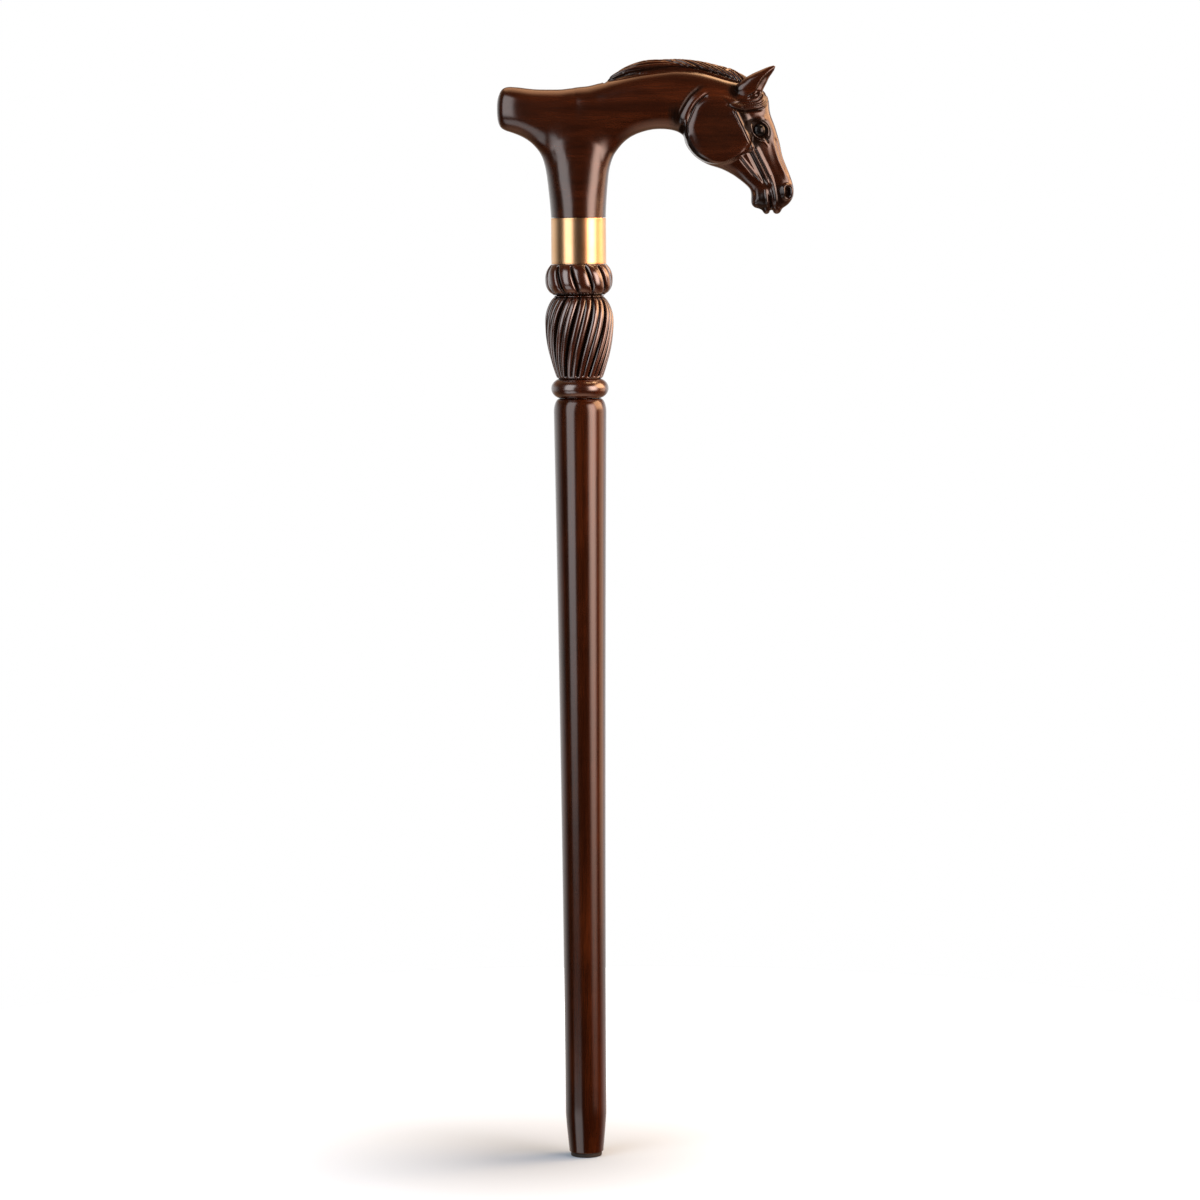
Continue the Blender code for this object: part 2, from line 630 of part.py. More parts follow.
def ring_and_tenon():
    """The round ring under the vase, and the tenon that the shaft takes."""
    middle = RING_HEIGHT / 2.0
    profile = [(0.0, RING_HEIGHT + 2.0 * JOIN_OVERLAP),
               (RING_NECK_RADIUS - JOIN_OVERLAP, RING_HEIGHT + 2.0 * JOIN_OVERLAP)]
    for k in range(RING_STEPS + 1):
        angle = math.pi / 2.0 - math.pi * k / RING_STEPS
        bulge = math.cos(angle) ** RING_BULGE_POWER
        profile.append((RING_NECK_RADIUS + (RING_RADIUS - RING_NECK_RADIUS) * bulge,
                        middle + middle * math.sin(angle)))
    profile += [(TENON_RADIUS, 0.0), (TENON_RADIUS, -TENON_LENGTH), (0.0, -TENON_LENGTH)]
    return turned("ring_and_tenon", profile)


def build_carved_section(mat):
    section = add_part("carved_section", fluted_body(), mat, SECTION_Z)
    top = SECTION_LENGTH
    spigot_top = COLLAR_Z + LOWER_SPIGOT_LENGTH - SECTION_Z
    spigot = turned("spigot", [(0.0, spigot_top), (SPIGOT_RADIUS, spigot_top),
                               (SPIGOT_RADIUS, top - JOIN_OVERLAP), (0.0, top - 2.0 * JOIN_OVERLAP)])
    boolean(section, add_helper("section_spigot", spigot, SECTION_Z), "UNION")
    boolean(section, add_helper("section_ring", ring_and_tenon(), SECTION_Z), "UNION")

    bore_top = spigot_top + JOIN_OVERLAP
    bore_floor = STUD_Z - SECTION_Z - BLIND_SPACE
    bore = turned("stud_bore", [(0.0, bore_top), (STUD_RADIUS + FIT_GAP, bore_top),
                                (STUD_RADIUS + FIT_GAP, bore_floor), (0.0, bore_floor)], BORE_STEPS)
    boolean(section, add_helper("section_bore", bore, SECTION_Z), "DIFFERENCE")
    return section


# Collar and stud

def build_collar(mat):
    inside = COLLAR_RADIUS - COLLAR_WALL
    profile = [(inside, 0.0), (inside, COLLAR_LENGTH), (COLLAR_RADIUS - COLLAR_EDGE, COLLAR_LENGTH),
               (COLLAR_RADIUS, COLLAR_LENGTH - COLLAR_EDGE), (COLLAR_RADIUS, COLLAR_EDGE),
               (COLLAR_RADIUS - COLLAR_EDGE, 0.0)]
    return add_part("collar", turned("collar", profile, COLLAR_STEPS, True), mat, COLLAR_Z)


def build_stud(mat):
    profile = [(0.0, STUD_LENGTH), (STUD_RADIUS - STUD_CHAMFER, STUD_LENGTH),
               (STUD_RADIUS, STUD_LENGTH - STUD_CHAMFER), (STUD_RADIUS, STUD_CHAMFER),
               (STUD_RADIUS - STUD_CHAMFER, 0.0), (0.0, 0.0)]
    return add_part("joining_stud", turned("joining_stud", profile, BORE_STEPS), mat, STUD_Z)


# Handle

def post_stations():
    """The round post above the collar, begun a little lower so that it can be cut flat."""
    base = [((COLLAR_RADIUS, height), (-COLLAR_RADIUS, height), COLLAR_RADIUS, 2.0, 0.0)
            for height in (-POST_ALLOWANCE, 0.0)]
    return base + POST_TOP


def swapped(stations):
    return [(outer, inner, width, square, narrow) for inner, outer, width, square, narrow in stations]


def cheek_mesh(side):
    """Round pillow whose outer face is the cheek, sunk to the front and the top."""
    profile = []
    steps_over, steps_round = CHEEK_STEPS
    power = 2.0 / CHEEK_SQUARENESS
    for k in range(steps_over + 1):
        angle = math.pi * k / steps_over
        profile.append((CHEEK_RADIUS * abs(math.sin(angle)) ** power,
                        CHEEK_HALF_THICKNESS * signed_power(math.cos(angle), power)))
    profile[0] = (0.0, CHEEK_HALF_THICKNESS)
    profile[-1] = (0.0, -CHEEK_HALF_THICKNESS)
    mesh = turned("cheek", profile, steps_round)
    lean = math.tan(math.radians(CHEEK_TILT))
    facing = Vector((lean, side, lean)).to_track_quat("Z", "Y").to_matrix().to_4x4()
    out = side * (CHEEK_STANDS_OUT - CHEEK_HALF_THICKNESS)
    mesh.transform(Matrix.Translation((CHEEK_PLACE[0], out, CHEEK_PLACE[1])) @ facing)
    return mesh


def core_mesh():
    """Grip, neck, head and swellings as overlapping bodies, to be blended into one."""
    grip = loft("grip", [section_ring(s) for s in smooth_stations(swapped(post_stations()) + GRIP_STATIONS)])
    head = loft("head", [section_ring(s) for s in smooth_stations(post_stations() + HEAD_STATIONS)])
    bridge = loft("bridge", [section_ring(s) for s in smooth_stations(BRIDGE_STATIONS)])
    bodies = [grip, head, bridge, ellipsoid("chin", *CHIN_SWELL)]
    bodies += [ellipsoid("lower_lip", *LOWER_LIP), ellipsoid("upper_lip", *UPPER_LIP)]
    for side in (-1.0, 1.0):
        bodies.append(cheek_mesh(side))
        bodies.append(ellipsoid("brow", *BROW, side))
        bodies.append(ellipsoid("nostril", *NOSTRIL_SWELL, side))
    return joined("handle", bodies)


class Skin:
    """The blended surface, for laying carved detail on it."""

    def __init__(self, mesh):
        bm = bmesh.new()
        bm.from_mesh(mesh)
        self.tree = BVHTree.FromBMesh(bm)
        bm.free()

    def side_point(self, place, side):
        """Point and normal where a line across the handle meets its side."""
        start = Vector((place[0], side * SKIN_RAY_START, place[1]))
        point, normal, index, distance = self.tree.ray_cast(start, Vector((0.0, -side, 0.0)))
        if point is None:
            point, normal, index, distance = self.tree.find_nearest(Vector((place[0], 0.0, place[1])))
        return point, normal

    def nearest(self, point):
        return self.tree.find_nearest(Vector(point))[0]


def smooth_path(points, steps=PATH_STEPS):
    """Points on a smooth curve through the given ones."""
    last = len(points) - 1
    result = []
    for k in range(last):
        around = [points[max(k - 1, 0)], points[k], points[k + 1], points[min(k + 2, last)]]
        for step in range(steps):
            result.append(Vector([catmull_rom(*four, step / steps) for four in zip(*around)]))
    result.append(Vector(points[last]))
    return result


def strand(name, points, radius, tail=0.25, bevel_resolution=0):
    """Rod along a smooth path that tapers to both ends."""
    path = smooth_path(points)
    last = len(path) - 1
    radii = [radius * (tail + (1.0 - tail) * math.sin(math.pi * k / last) ** 0.5) for k in range(last + 1)]
    return rod(name, path, radii, bevel_resolution)


def mane_top(along):
    """Height of the mane's crest at a place along the handle."""
    outline = [station[1] for station in MANE_STATIONS]
    for (x0, z0), (x1, z1) in zip(outline, outline[1:]):
        if along <= x1:
            return z0 + (z1 - z0) * (along - x0) / (x1 - x0)
    return outline[-1][1]


def mane_meshes():
    crest = loft("mane_crest", [section_ring(s, count=12) for s in smooth_stations(MANE_STATIONS, 2)])
    meshes = [crest]
    start_out, end_out = MANE_STRAND_OUT
    for number in range(MANE_STRANDS):
        start = MANE_FIRST_STRAND + MANE_STRAND_SPACING * number
        run = MANE_STRAND_RUN - MANE_RUN_LOSS * number
        for side in (-1.0, 1.0):
            points = []
            for share in (0.0, 0.25, 0.5, 0.75, 1.0):
                along = start + run * share
                out = start_out + (end_out - start_out) * share ** 0.8
                drop = MANE_STRAND_SUNK + MANE_STRAND_DROP * share ** 1.5
                points.append((along, side * out, mane_top(along) - drop))
            meshes.append(strand("mane_strand", points, MANE_STRAND_RADIUS))
    return meshes


def forelock_meshes(skin):
    """Strands that lie over the brow and run round both sides of the head to a point."""
    meshes = []
    for number in range(FORELOCK_STRANDS):
        share = number / (FORELOCK_STRANDS - 1)
        left = [(x, y, z + rise * share) for x, y, z, rise in FORELOCK_PATH]
        right = [(x, -y, z) for x, y, z in left]
        points = [skin.nearest(point) for point in right + left[-2::-1]]
        meshes.append(strand("forelock_strand", points, FORELOCK_STRAND_RADIUS, 0.3))
    return meshes


def neck_fold_mesh(skin, side):
    """The fold of the neck behind the cheek."""
    points = []
    for place in NECK_FOLD_PATH:
        point, normal = skin.side_point(place, side)
        points.append(point - normal * NECK_FOLD_SUNK)
    return strand("neck_fold", points, NECK_FOLD_RADIUS, 0.4, 1)


def ear_mesh(side):
    stations = smooth_stations(EAR_STATIONS, 1)
    last = len(stations) - 1
    rings = [section_ring(s, side * (EAR_BASE_OFFSET + EAR_SPLAY * k / last), 12)
             for k, s in enumerate(stations)]
    return loft("ear", rings)


def ear_hollow_mesh(side):
    stations = smooth_stations(EAR_HOLLOW_STATIONS, 1)
    last = len(stations) - 1
    offset = EAR_BASE_OFFSET + EAR_HOLLOW_OUT
    rings = [section_ring(s, side * (offset + EAR_SPLAY * k / last), 10) for k, s in enumerate(stations)]
    return loft("ear_hollow", rings)


def face_ridge_meshes(skin):
    meshes = []
    for run in FACE_RIDGES:
        for side in (-1.0, 1.0):
            points = [skin.side_point(place, side)[0] for place in run]
            meshes.append(strand("face_ridge", points, FACE_RIDGE_RADIUS, 0.5))
    return meshes


def eye_frame(skin, side):
    """Place of an eye: its middle on the surface, with local Z out of the head."""
    point, normal = skin.side_point(EYE_PLACE, side)
    return Matrix.Translation(point) @ normal.to_track_quat("Z", "Y").to_matrix().to_4x4()


def eye_profile(radius, depth, dome):
    profile = []
    steps = 5
    for k in range(steps):
        angle = math.pi / 2.0 * k / steps
        profile.append((radius * math.sin(angle), dome * math.cos(angle)))
    profile += [(radius, 0.0), (radius, -depth), (0.0, -depth)]
    return profile


def lid_mesh(frame, side):
    """Ring round the eye, drawn to a point at its front lower corner."""
    corner = math.radians(EYE_CORNER_ANGLE)
    points = []
    for k in range(LID_POINTS):
        angle = math.tau * k / LID_POINTS
        towards = max(math.cos(angle - corner), 0.0) ** EYE_CORNER_POWER
        reach = EYE_RADIUS + EYE_LID_RADIUS + EYE_CORNER_REACH * towards
        points.append(frame @ Vector((-side * reach * math.cos(angle), reach * math.sin(angle), 0.0)))
    return rod("eyelid", points, [EYE_LID_RADIUS] * LID_POINTS, 0, True)


def blended_core(mat):
    """The handle's main forms, melted into one skin and thinned to fewer faces."""
    handle = add_part("handle", core_mesh(), mat, HANDLE_Z)
    blend = handle.modifiers.new("blend", "REMESH")
    blend.mode = "VOXEL"
    blend.voxel_size = BLEND_VOXEL
    blend.use_smooth_shade = True
    smooth = handle.modifiers.new("smooth", "SMOOTH")
    smooth.factor = 0.5
    smooth.iterations = BLEND_PASSES
    thin = handle.modifiers.new("thin", "DECIMATE")
    thin.ratio = BLEND_TRIANGLE_SHARE
    return handle


def add_spigot(handle):
    """Cuts the post flat over the collar and adds the spigot that the collar takes."""
    size = 4.0 * COLLAR_RADIUS
    bm = bmesh.new()
    bmesh.ops.create_cube(bm, size=size)
    bmesh.ops.translate(bm, vec=(0.0, 0.0, -size / 2.0), verts=bm.verts)
    below = bpy.data.meshes.new("below_post")
    bm.to_mesh(below)
    bm.free()
    boolean(handle, add_helper("handle_trim", below, HANDLE_Z), "DIFFERENCE")
    spigot = turned("spigot", [(0.0, JOIN_OVERLAP), (SPIGOT_RADIUS, JOIN_OVERLAP),
                               (SPIGOT_RADIUS, -UPPER_SPIGOT_LENGTH), (0.0, -UPPER_SPIGOT_LENGTH)])
    boolean(handle, add_helper("handle_spigot", spigot, HANDLE_Z), "UNION")


def socket_mesh(frame):
    profile = eye_profile(EYE_RADIUS + FIT_GAP, EYE_DEPTH + FIT_GAP, SOCKET_DOME)
    mesh = turned("socket", profile, BORE_STEPS)
    mesh.transform(frame)
    return mesh


def handle_bore_mesh():
    """The stud's blind bore, up through the spigot into the post."""
    radius = STUD_RADIUS + FIT_GAP
    top = STUD_Z + STUD_LENGTH + BLIND_SPACE - HANDLE_Z
    bottom = -UPPER_SPIGOT_LENGTH - JOIN_OVERLAP
    return turned("stud_bore", [(0.0, top), (radius, top), (radius, bottom), (0.0, bottom)], BORE_STEPS)


def build_handle(mat):
    handle = blended_core(mat)
    skin = Skin(evaluated_mesh(handle))
    add_spigot(handle)
    additions = mane_meshes() + forelock_meshes(skin) + face_ridge_meshes(skin)
    cutters = [mouth_mesh(skin), handle_bore_mesh()]
    frames = {}
    for side in (-1.0, 1.0):
        frame = eye_frame(skin, side)
        frames[side] = frame
        additions += [ear_mesh(side), lid_mesh(frame, side), neck_fold_mesh(skin, side)]
        cutters += [socket_mesh(frame), ear_hollow_mesh(side), nostril_mesh(skin, side)]
    boolean_all(handle, [add_helper(m.name, m, HANDLE_Z) for m in additions], "UNION")
    boolean_all(handle, [add_helper(m.name, m, HANDLE_Z) for m in cutters], "DIFFERENCE")
    return handle, frames


def nostril_mesh(skin, side):
    point, normal = skin.side_point(NOSTRIL_PLACE, side)
    frame = Matrix.Translation(point) @ normal.to_track_quat("Z", "X").to_matrix().to_4x4()
    bm = bmesh.new()
    bmesh.ops.create_uvsphere(bm, u_segments=14, v_segments=8, radius=1.0)
    size = Matrix.Diagonal((NOSTRIL_RADII[1], NOSTRIL_RADII[0], NOSTRIL_DEPTH, 1.0))
    bmesh.ops.transform(bm, matrix=frame @ size, verts=bm.verts)
    mesh = bpy.data.meshes.new("nostril")
    bm.to_mesh(mesh)
    bm.free()
    return mesh


def mouth_mesh(skin):
    """Slit that parts the lips, round from one side of the muzzle to the other."""
    sides = {}
    for side in (-1.0, 1.0):
        points = []
        for share in (0.0, 0.33, 0.66):
            place = (MOUTH_TOP[0] + (MOUTH_BOTTOM[0] - MOUTH_TOP[0]) * share,
                     MOUTH_TOP[1] + (MOUTH_BOTTOM[1] - MOUTH_TOP[1]) * share)
            points.append(skin.side_point(place, side)[0])
        sides[side] = points
    under = [Vector((MOUTH_BOTTOM[0], 0.0, MOUTH_BOTTOM[1]))]
    return strand("mouth", sides[-1.0] + under + sides[1.0][::-1], MOUTH_WIDTH, 0.4)


def build_eye(name, mat, frame):
    mesh = turned(name, eye_profile(EYE_RADIUS, EYE_DEPTH, EYE_DOME), BORE_STEPS)
    eye = add_part(name, mesh, mat, 0.0)
    eye.matrix_world = Matrix.Translation((0.0, 0.0, HANDLE_Z)) @ frame
    return eye


def main():
    global parts, helpers
    clear_scene()
    parts = new_collection(OBJECT_NAME)
    helpers = new_collection("cutters_and_additions")
    varnished = (0.085, 0.026, 0.012)
    build_foot_pad(material("sole_rubber", (0.02, 0.018, 0.016), 0.7))
    build_shaft(material("shaft_wood", varnished, 0.25, coat=0.8))
    build_carved_section(material("carved_wood", varnished, 0.3, coat=0.8))
    build_collar(material("collar_brass", (0.78, 0.52, 0.22), 0.22, 1.0))
    build_stud(material("stud_steel", (0.55, 0.55, 0.56), 0.35, 1.0))
    handle, frames = build_handle(material("handle_wood", varnished, 0.25, coat=0.8))
    build_eye("right_eye", material("right_eye_glass", (0.004, 0.004, 0.004), 0.05), frames[-1.0])
    build_eye("left_eye", material("left_eye_glass", (0.004, 0.004, 0.004), 0.05), frames[1.0])


if __name__ == "__main__":
    main()
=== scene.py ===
"""Looks of the carved walking cane.

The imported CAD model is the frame. Each piece here stands for one of its nodes, at the same
place and size, and adds the fine carving, the stud's thread, the materials and the light.
Tables are in millimetres. In the handle's tables the numbers are (along, above): along the
handle towards the muzzle, and above the top of the collar.
"""

import math

import bmesh
import bpy
import numpy as np
from mathutils import Matrix, Vector
from mathutils.bvhtree import BVHTree
from mathutils.kdtree import KDTree


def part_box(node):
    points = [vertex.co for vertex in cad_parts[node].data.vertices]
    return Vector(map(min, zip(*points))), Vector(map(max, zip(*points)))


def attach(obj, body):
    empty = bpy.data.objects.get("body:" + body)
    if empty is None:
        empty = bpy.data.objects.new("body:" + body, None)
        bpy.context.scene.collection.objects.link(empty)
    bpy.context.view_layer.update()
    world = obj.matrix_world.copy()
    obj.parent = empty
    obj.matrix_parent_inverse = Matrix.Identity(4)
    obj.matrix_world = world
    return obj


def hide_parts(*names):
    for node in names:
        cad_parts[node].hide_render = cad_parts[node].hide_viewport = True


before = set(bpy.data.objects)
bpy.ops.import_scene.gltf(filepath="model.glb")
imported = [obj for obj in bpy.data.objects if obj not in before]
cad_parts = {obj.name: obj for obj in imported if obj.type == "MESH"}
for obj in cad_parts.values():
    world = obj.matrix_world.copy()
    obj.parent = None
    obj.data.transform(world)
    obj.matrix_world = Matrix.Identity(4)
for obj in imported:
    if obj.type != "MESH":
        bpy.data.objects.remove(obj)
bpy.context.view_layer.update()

MM = 0.001
FIT_GAP = 0.3
SIDES = (-1.0, 1.0)

# Camera, at the photograph's viewing angle: place in metres, angles in degrees and radians
CAMERA_PLACE = (0.014264739, -3.3, 0.73)
CAMERA_TILT = 5.029174
CAMERA_ROLL = -0.0082242035
CAMERA_LENS = 127.3087


def heights(node):
    """Lowest and highest point of a CAD node in millimetres."""
    return [corner.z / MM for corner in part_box(node)]


COLLAR_LOW, COLLAR_HIGH = heights("collar")
SHAFT_LOW, SHAFT_HIGH = heights("shaft")
STUD_LOW, STUD_HIGH = heights("joining_stud")
SECTION_BOTTOM, SECTION_SPIGOT_TOP = heights("carved_section")
HANDLE_BOTTOM = heights("handle")[0]
HANDLE_LOW = COLLAR_HIGH + FIT_GAP
SECTION_LOW = SHAFT_HIGH + FIT_GAP

COLLAR_RADIUS = 21.3
COLLAR_WALL = 2.0
SPIGOT_RADIUS = COLLAR_RADIUS - COLLAR_WALL - FIT_GAP
STUD_RADIUS = 5.0
BORE_RADIUS = STUD_RADIUS + FIT_GAP
BLIND_SPACE = 1.0

# Steps between two given points of a cross-section's curve and of a stroke's path
CURVE_STEPS = 6
PATH_STEPS = 8


# Meshes

def finished_mesh(bm, name):
    mesh = bpy.data.meshes.new(name)
    bm.to_mesh(mesh)
    bm.free()
    return mesh


def mesh_of(name, verts, faces, sharp=40.0):
    """Mesh in metres from points in millimetres, faces turned outward and shaded smooth."""
    mesh = bpy.data.meshes.new(name)
    mesh.from_pydata((np.asarray(verts, float) * MM).tolist(), [], faces)
    bm = bmesh.new()
    bm.from_mesh(mesh)
    bmesh.ops.recalc_face_normals(bm, faces=bm.faces)
    bm.to_mesh(mesh)
    bm.free()
    mesh.shade_smooth()
    if sharp is not None:
        mesh.set_sharp_from_angle(angle=math.radians(sharp))
    return mesh


def mesh_of_rows(name, rows, sharp=40.0, closed=False):
    """Closed mesh through rows of points, each row a ring; the ends are fans to their middles."""
    rows = np.asarray(rows, float)
    count, columns = rows.shape[:2]
    index = np.arange(count * columns).reshape(count, columns)
    if closed:
        index = np.vstack([index, index[:1]])
    following = np.roll(index, -1, axis=1)
    quads = np.stack([index[:-1], following[:-1], following[1:], index[1:]], axis=-1)
    faces = quads.reshape(-1, 4).tolist()
    verts = rows.reshape(-1, 3)
    if not closed:
        middles = np.array([rows[0].mean(axis=0), rows[-1].mean(axis=0)])
        first = len(verts)
        verts = np.vstack([verts, middles])
        faces += [(first, int(b), int(a)) for a, b in zip(index[0], following[0])]
        faces += [(first + 1, int(a), int(b)) for a, b in zip(index[-1], following[-1])]
    return mesh_of(name, verts, faces, sharp)


def ring(radius, angle, height):
    """Points round the cane's axis; the angle 0 faces the camera."""
    return np.stack([radius * np.sin(angle), -radius * np.cos(angle), np.full(len(angle), height)], axis=-1)


def turned(name, profile, steps, sharp=40.0, closed=False):
    """Profile of (radius, height) turned about the cane's axis."""
    angle = np.arange(steps) * math.tau / steps
    return mesh_of_rows(name, [ring(r, angle, z) for r, z in profile], sharp, closed)


def arc(corner, radius, start, end, steps):
    """Points of a rounded corner, from the angle start to the angle end in degrees."""
    angles = np.radians(np.linspace(start, end, steps + 1))
    return [(corner[0] + radius * math.cos(a), corner[1] + radius * math.sin(a)) for a in angles]


def catmull_rom(values, steps=CURVE_STEPS):
    """Rows of numbers with others between them, on smooth curves through the given ones."""
    values = np.asarray(values, float)
    last = len(values) - 1
    rows = []
    for k in range(last):
        before, start, end, after = (values[max(k - 1, 0)], values[k], values[k + 1],
                                     values[min(k + 2, last)])
        for t in np.arange(steps) / steps:
            rows.append(0.5 * (2.0 * start + (end - before) * t
                               + (2.0 * before - 5.0 * start + 4.0 * end - after) * t ** 2
                               + (3.0 * start - before - 3.0 * end + after) * t ** 3))
    rows.append(values[last])
    return np.array(rows)


def in_scene(name, data):
    obj = bpy.data.objects.new(name, data)
    bpy.context.scene.collection.objects.link(obj)
    return obj


def modified(mesh, *modifiers):
    """The mesh after some modifiers, each given as its kind and its settings."""
    holder = in_scene(mesh.name, mesh)
    for kind, settings in modifiers:
        modifier = holder.modifiers.new(kind, kind)
        for key, value in settings.items():
            setattr(modifier, key, value)
    graph = bpy.context.evaluated_depsgraph_get()
    graph.update()
    result = bpy.data.meshes.new_from_object(holder.evaluated_get(graph), depsgraph=graph)
    bpy.data.objects.remove(holder, do_unlink=True)
    return result


def turned_to(mesh, direction, place):
    """The mesh with its +Z along a direction and its origin at a place in millimetres."""
    facing = Vector(direction).to_track_quat("Z", "Y").to_matrix().to_4x4()
    mesh.transform(Matrix.Translation(Vector(place) * MM) @ facing)
    return mesh


def add_piece(name, mesh, node, mat):
    """A piece that stands for a CAD node and rides on the cane's one body."""
    obj = in_scene(name, mesh)
    mesh.materials.append(mat)
    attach(obj, "root")
    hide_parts(node)


def read_vectors(items, key):
    values = np.empty(len(items) * 3)
    items.foreach_get(key, values)
    return values.reshape(-1, 3)


def add_number(mesh, name, values):
    layer = mesh.attributes.new(name, "FLOAT", "POINT")
    layer.data.foreach_set("value", np.asarray(values, np.float32))


# Materials

class Nodes:
    """Short forms for building the nodes of a material, a lamp or the world."""

    def __init__(self, tree):
        self.tree = tree

    def feed(self, node, inputs):
        """Links or writes a node's inputs, given in order or by name or number."""
        for name, value in inputs.items() if isinstance(inputs, dict) else enumerate(inputs):
            if isinstance(value, bpy.types.NodeSocket):
                self.tree.links.new(value, node.inputs[name])
            else:
                node.inputs[name].default_value = value

    def add(self, kind, inputs=(), **settings):
        node = self.tree.nodes.new("ShaderNode" + kind)
        for key, value in settings.items():
            setattr(node, key, value)
        self.feed(node, inputs)
        return node

    def place(self, scale=(1.0, 1.0, 1.0), turn=(0.0, 0.0, 0.0)):
        """Object coordinates, scaled; a small scale stretches the pattern."""
        where = self.add("TexCoord").outputs["Object"]
        return self.add("Mapping", {"Vector": where, "Rotation": turn, "Scale": scale}).outputs[0]

    def noise(self, where, scale, detail=4.0, roughness=0.55, distortion=0.0):
        inputs = {"Vector": where, "Scale": scale, "Detail": detail, "Roughness": roughness,
                  "Distortion": distortion}
        return self.add("TexNoise", inputs).outputs["Fac"]

    def ramp(self, factor, *stops):
        node = self.add("ValToRGB", [factor])
        while len(node.color_ramp.elements) < len(stops):
            node.color_ramp.elements.new(0.5)
        for element, (position, colour) in zip(node.color_ramp.elements, stops):
            element.position = position
            element.color = (*colour, 1.0)
        return node.outputs["Color"]

    def span(self, value, low, high, to_low=0.0, to_high=1.0, way="LINEAR"):
        return self.add("MapRange", (value, low, high, to_low, to_high), interpolation_type=way).outputs[0]

    def fade(self, value, low, high):
        """Rises softly from 0 at low to 1 at high."""
        return self.span(value, low, high, way="SMOOTHSTEP")

    def mix(self, factor, first, second, blend="MIX"):
        inputs = {0: factor, 6: first, 7: second}
        return self.add("Mix", inputs, data_type="RGBA", blend_type=blend).outputs[2]

    def number(self, operation, *values):
        return self.add("Math", values, operation=operation).outputs[0]

    def bump(self, height, strength, distance):
        inputs = {"Height": height, "Strength": strength, "Distance": distance}
        return self.add("Bump", inputs).outputs[0]


class Material(Nodes):
    def __init__(self, name):
        self.mat = bpy.data.materials.new(name)
        self.mat.use_nodes = True
        super().__init__(self.mat.node_tree)

    def shaded(self, **inputs):
        """The material, with these inputs of its shader."""
        self.feed(self.tree.nodes["Principled BSDF"], {k.replace("_", " "): v for k, v in inputs.items()})
        return self.mat


WOOD_DARK = (0.018, 0.0038, 0.0012)
WOOD_MIDDLE = (0.035, 0.0074, 0.0018)
WOOD_LIGHT = (0.064, 0.0142, 0.0034)
# Near-black colour of the stain and of the painted shade in the carving's hollows and grooves
STAIN_AND_SHADE_COLOUR = (0.0030, 0.0014, 0.0010, 1.0)


def varnished_wood(name, along, turn=(0.0, 0.0, 0.0), stained_and_shaded=False, depth=1.0, gloss=0.15, coat_ior=1.5):
    """Dark reddish wood with its grain along one axis, under a clear varnish that thins in the stain and
    painted shade.
    """
    wood = Material(name)

    def stretched(share):
        scale = [1.0, 1.0, 1.0]
        scale[along] = share
        return wood.place(scale, turn)

    figure = wood.noise(stretched(0.09), 95.0, 5.0, 0.62, 0.35)
    colour = wood.ramp(figure, (0.30, WOOD_DARK), (0.50, WOOD_MIDDLE), (0.72, WOOD_LIGHT))
    fibre = wood.noise(stretched(0.03), 1300.0, 3.0, 0.6)
    fibre_shade = wood.ramp(fibre, (0.32, (0.50, 0.46, 0.44)), (0.55, (1.0, 1.0, 1.0)),
                            (0.80, (1.25, 1.22, 1.18)))
    colour = wood.mix(0.75, colour, fibre_shade, "MULTIPLY")
    cloud = wood.noise(wood.place(), 28.0, 2.0)
    cloud_shade = wood.ramp(cloud, (0.35, (0.80, 0.76, 0.76)), (0.65, (1.12, 1.10, 1.06)))
    colour = wood.mix(1.0, colour, cloud_shade, "MULTIPLY")
    colour = wood.mix(1.0, colour, (depth, depth, depth, 1.0), "MULTIPLY")
    roughness = wood.span(fibre, 0.3, 0.7, 0.46, 0.34)
    varnish = 1.0
    # A value on each point darkens the wood with stain and painted shade, and thins its varnish where it is
    # deep.
    if stained_and_shaded:
        stain_and_shade = wood.add("Attribute", attribute_name="stain_and_shade").outputs["Fac"]
        rub = wood.span(wood.noise(wood.place(), 420.0), 0.3, 0.7, -0.08, 0.08)
        amount = wood.span(wood.number("ADD", stain_and_shade, rub), 0.08, 0.85)
        colour = wood.mix(amount, colour, STAIN_AND_SHADE_COLOUR)
        varnish = wood.span(stain_and_shade, 0.70, 0.90, 1.0, 0.06)
        roughness = wood.number("MAXIMUM", roughness, wood.span(stain_and_shade, 0.10, 0.75, 0.34, 1.0))
    ripple = wood.noise(wood.place(), 160.0, 2.0)
    return wood.shaded(
        Base_Color=colour, Roughness=roughness, Normal=wood.bump(fibre, 0.12, 0.0002), IOR=1.45,
        Specular_IOR_Level=0.15, Specular_Tint=(1.0, 0.40, 0.15, 1.0), Coat_Weight=varnish,
        Coat_Roughness=gloss, Coat_IOR=coat_ior, Coat_Normal=wood.bump(ripple, 0.05, 0.0004))


def brass():
    metal = Material("satin_brass")
    brushed = metal.noise(metal.place((1.0, 1.0, 30.0)), 60.0, 3.0)
    spots = metal.noise(metal.place(), 90.0, 3.0)
    return metal.shaded(
        Metallic=1.0, Base_Color=metal.ramp(spots, (0.3, (0.77, 0.46, 0.23)), (0.7, (0.82, 0.51, 0.28))),
        Roughness=metal.span(brushed, 0.3, 0.7, 0.275, 0.29), Normal=metal.bump(brushed, 0.003, 0.0001))


def steel():
    metal = Material("zinc_plated_steel")
    spots = metal.noise(metal.place(), 150.0)
    return metal.shaded(
        Metallic=1.0, Base_Color=metal.ramp(spots, (0.3, (0.44, 0.44, 0.46)), (0.7, (0.60, 0.60, 0.60))),
        Roughness=metal.span(spots, 0.3, 0.7, 0.28, 0.42))


def black_glass():
    glass = Material("black_glass")
    clouds = glass.noise(glass.place(), 400.0, 2.0)
    colour = glass.ramp(clouds, (0.3, (0.002, 0.002, 0.002)), (0.7, (0.008, 0.007, 0.007)))
    return glass.shaded(Base_Color=colour, Roughness=glass.span(clouds, 0.3, 0.7, 0.04, 0.07), IOR=1.32)


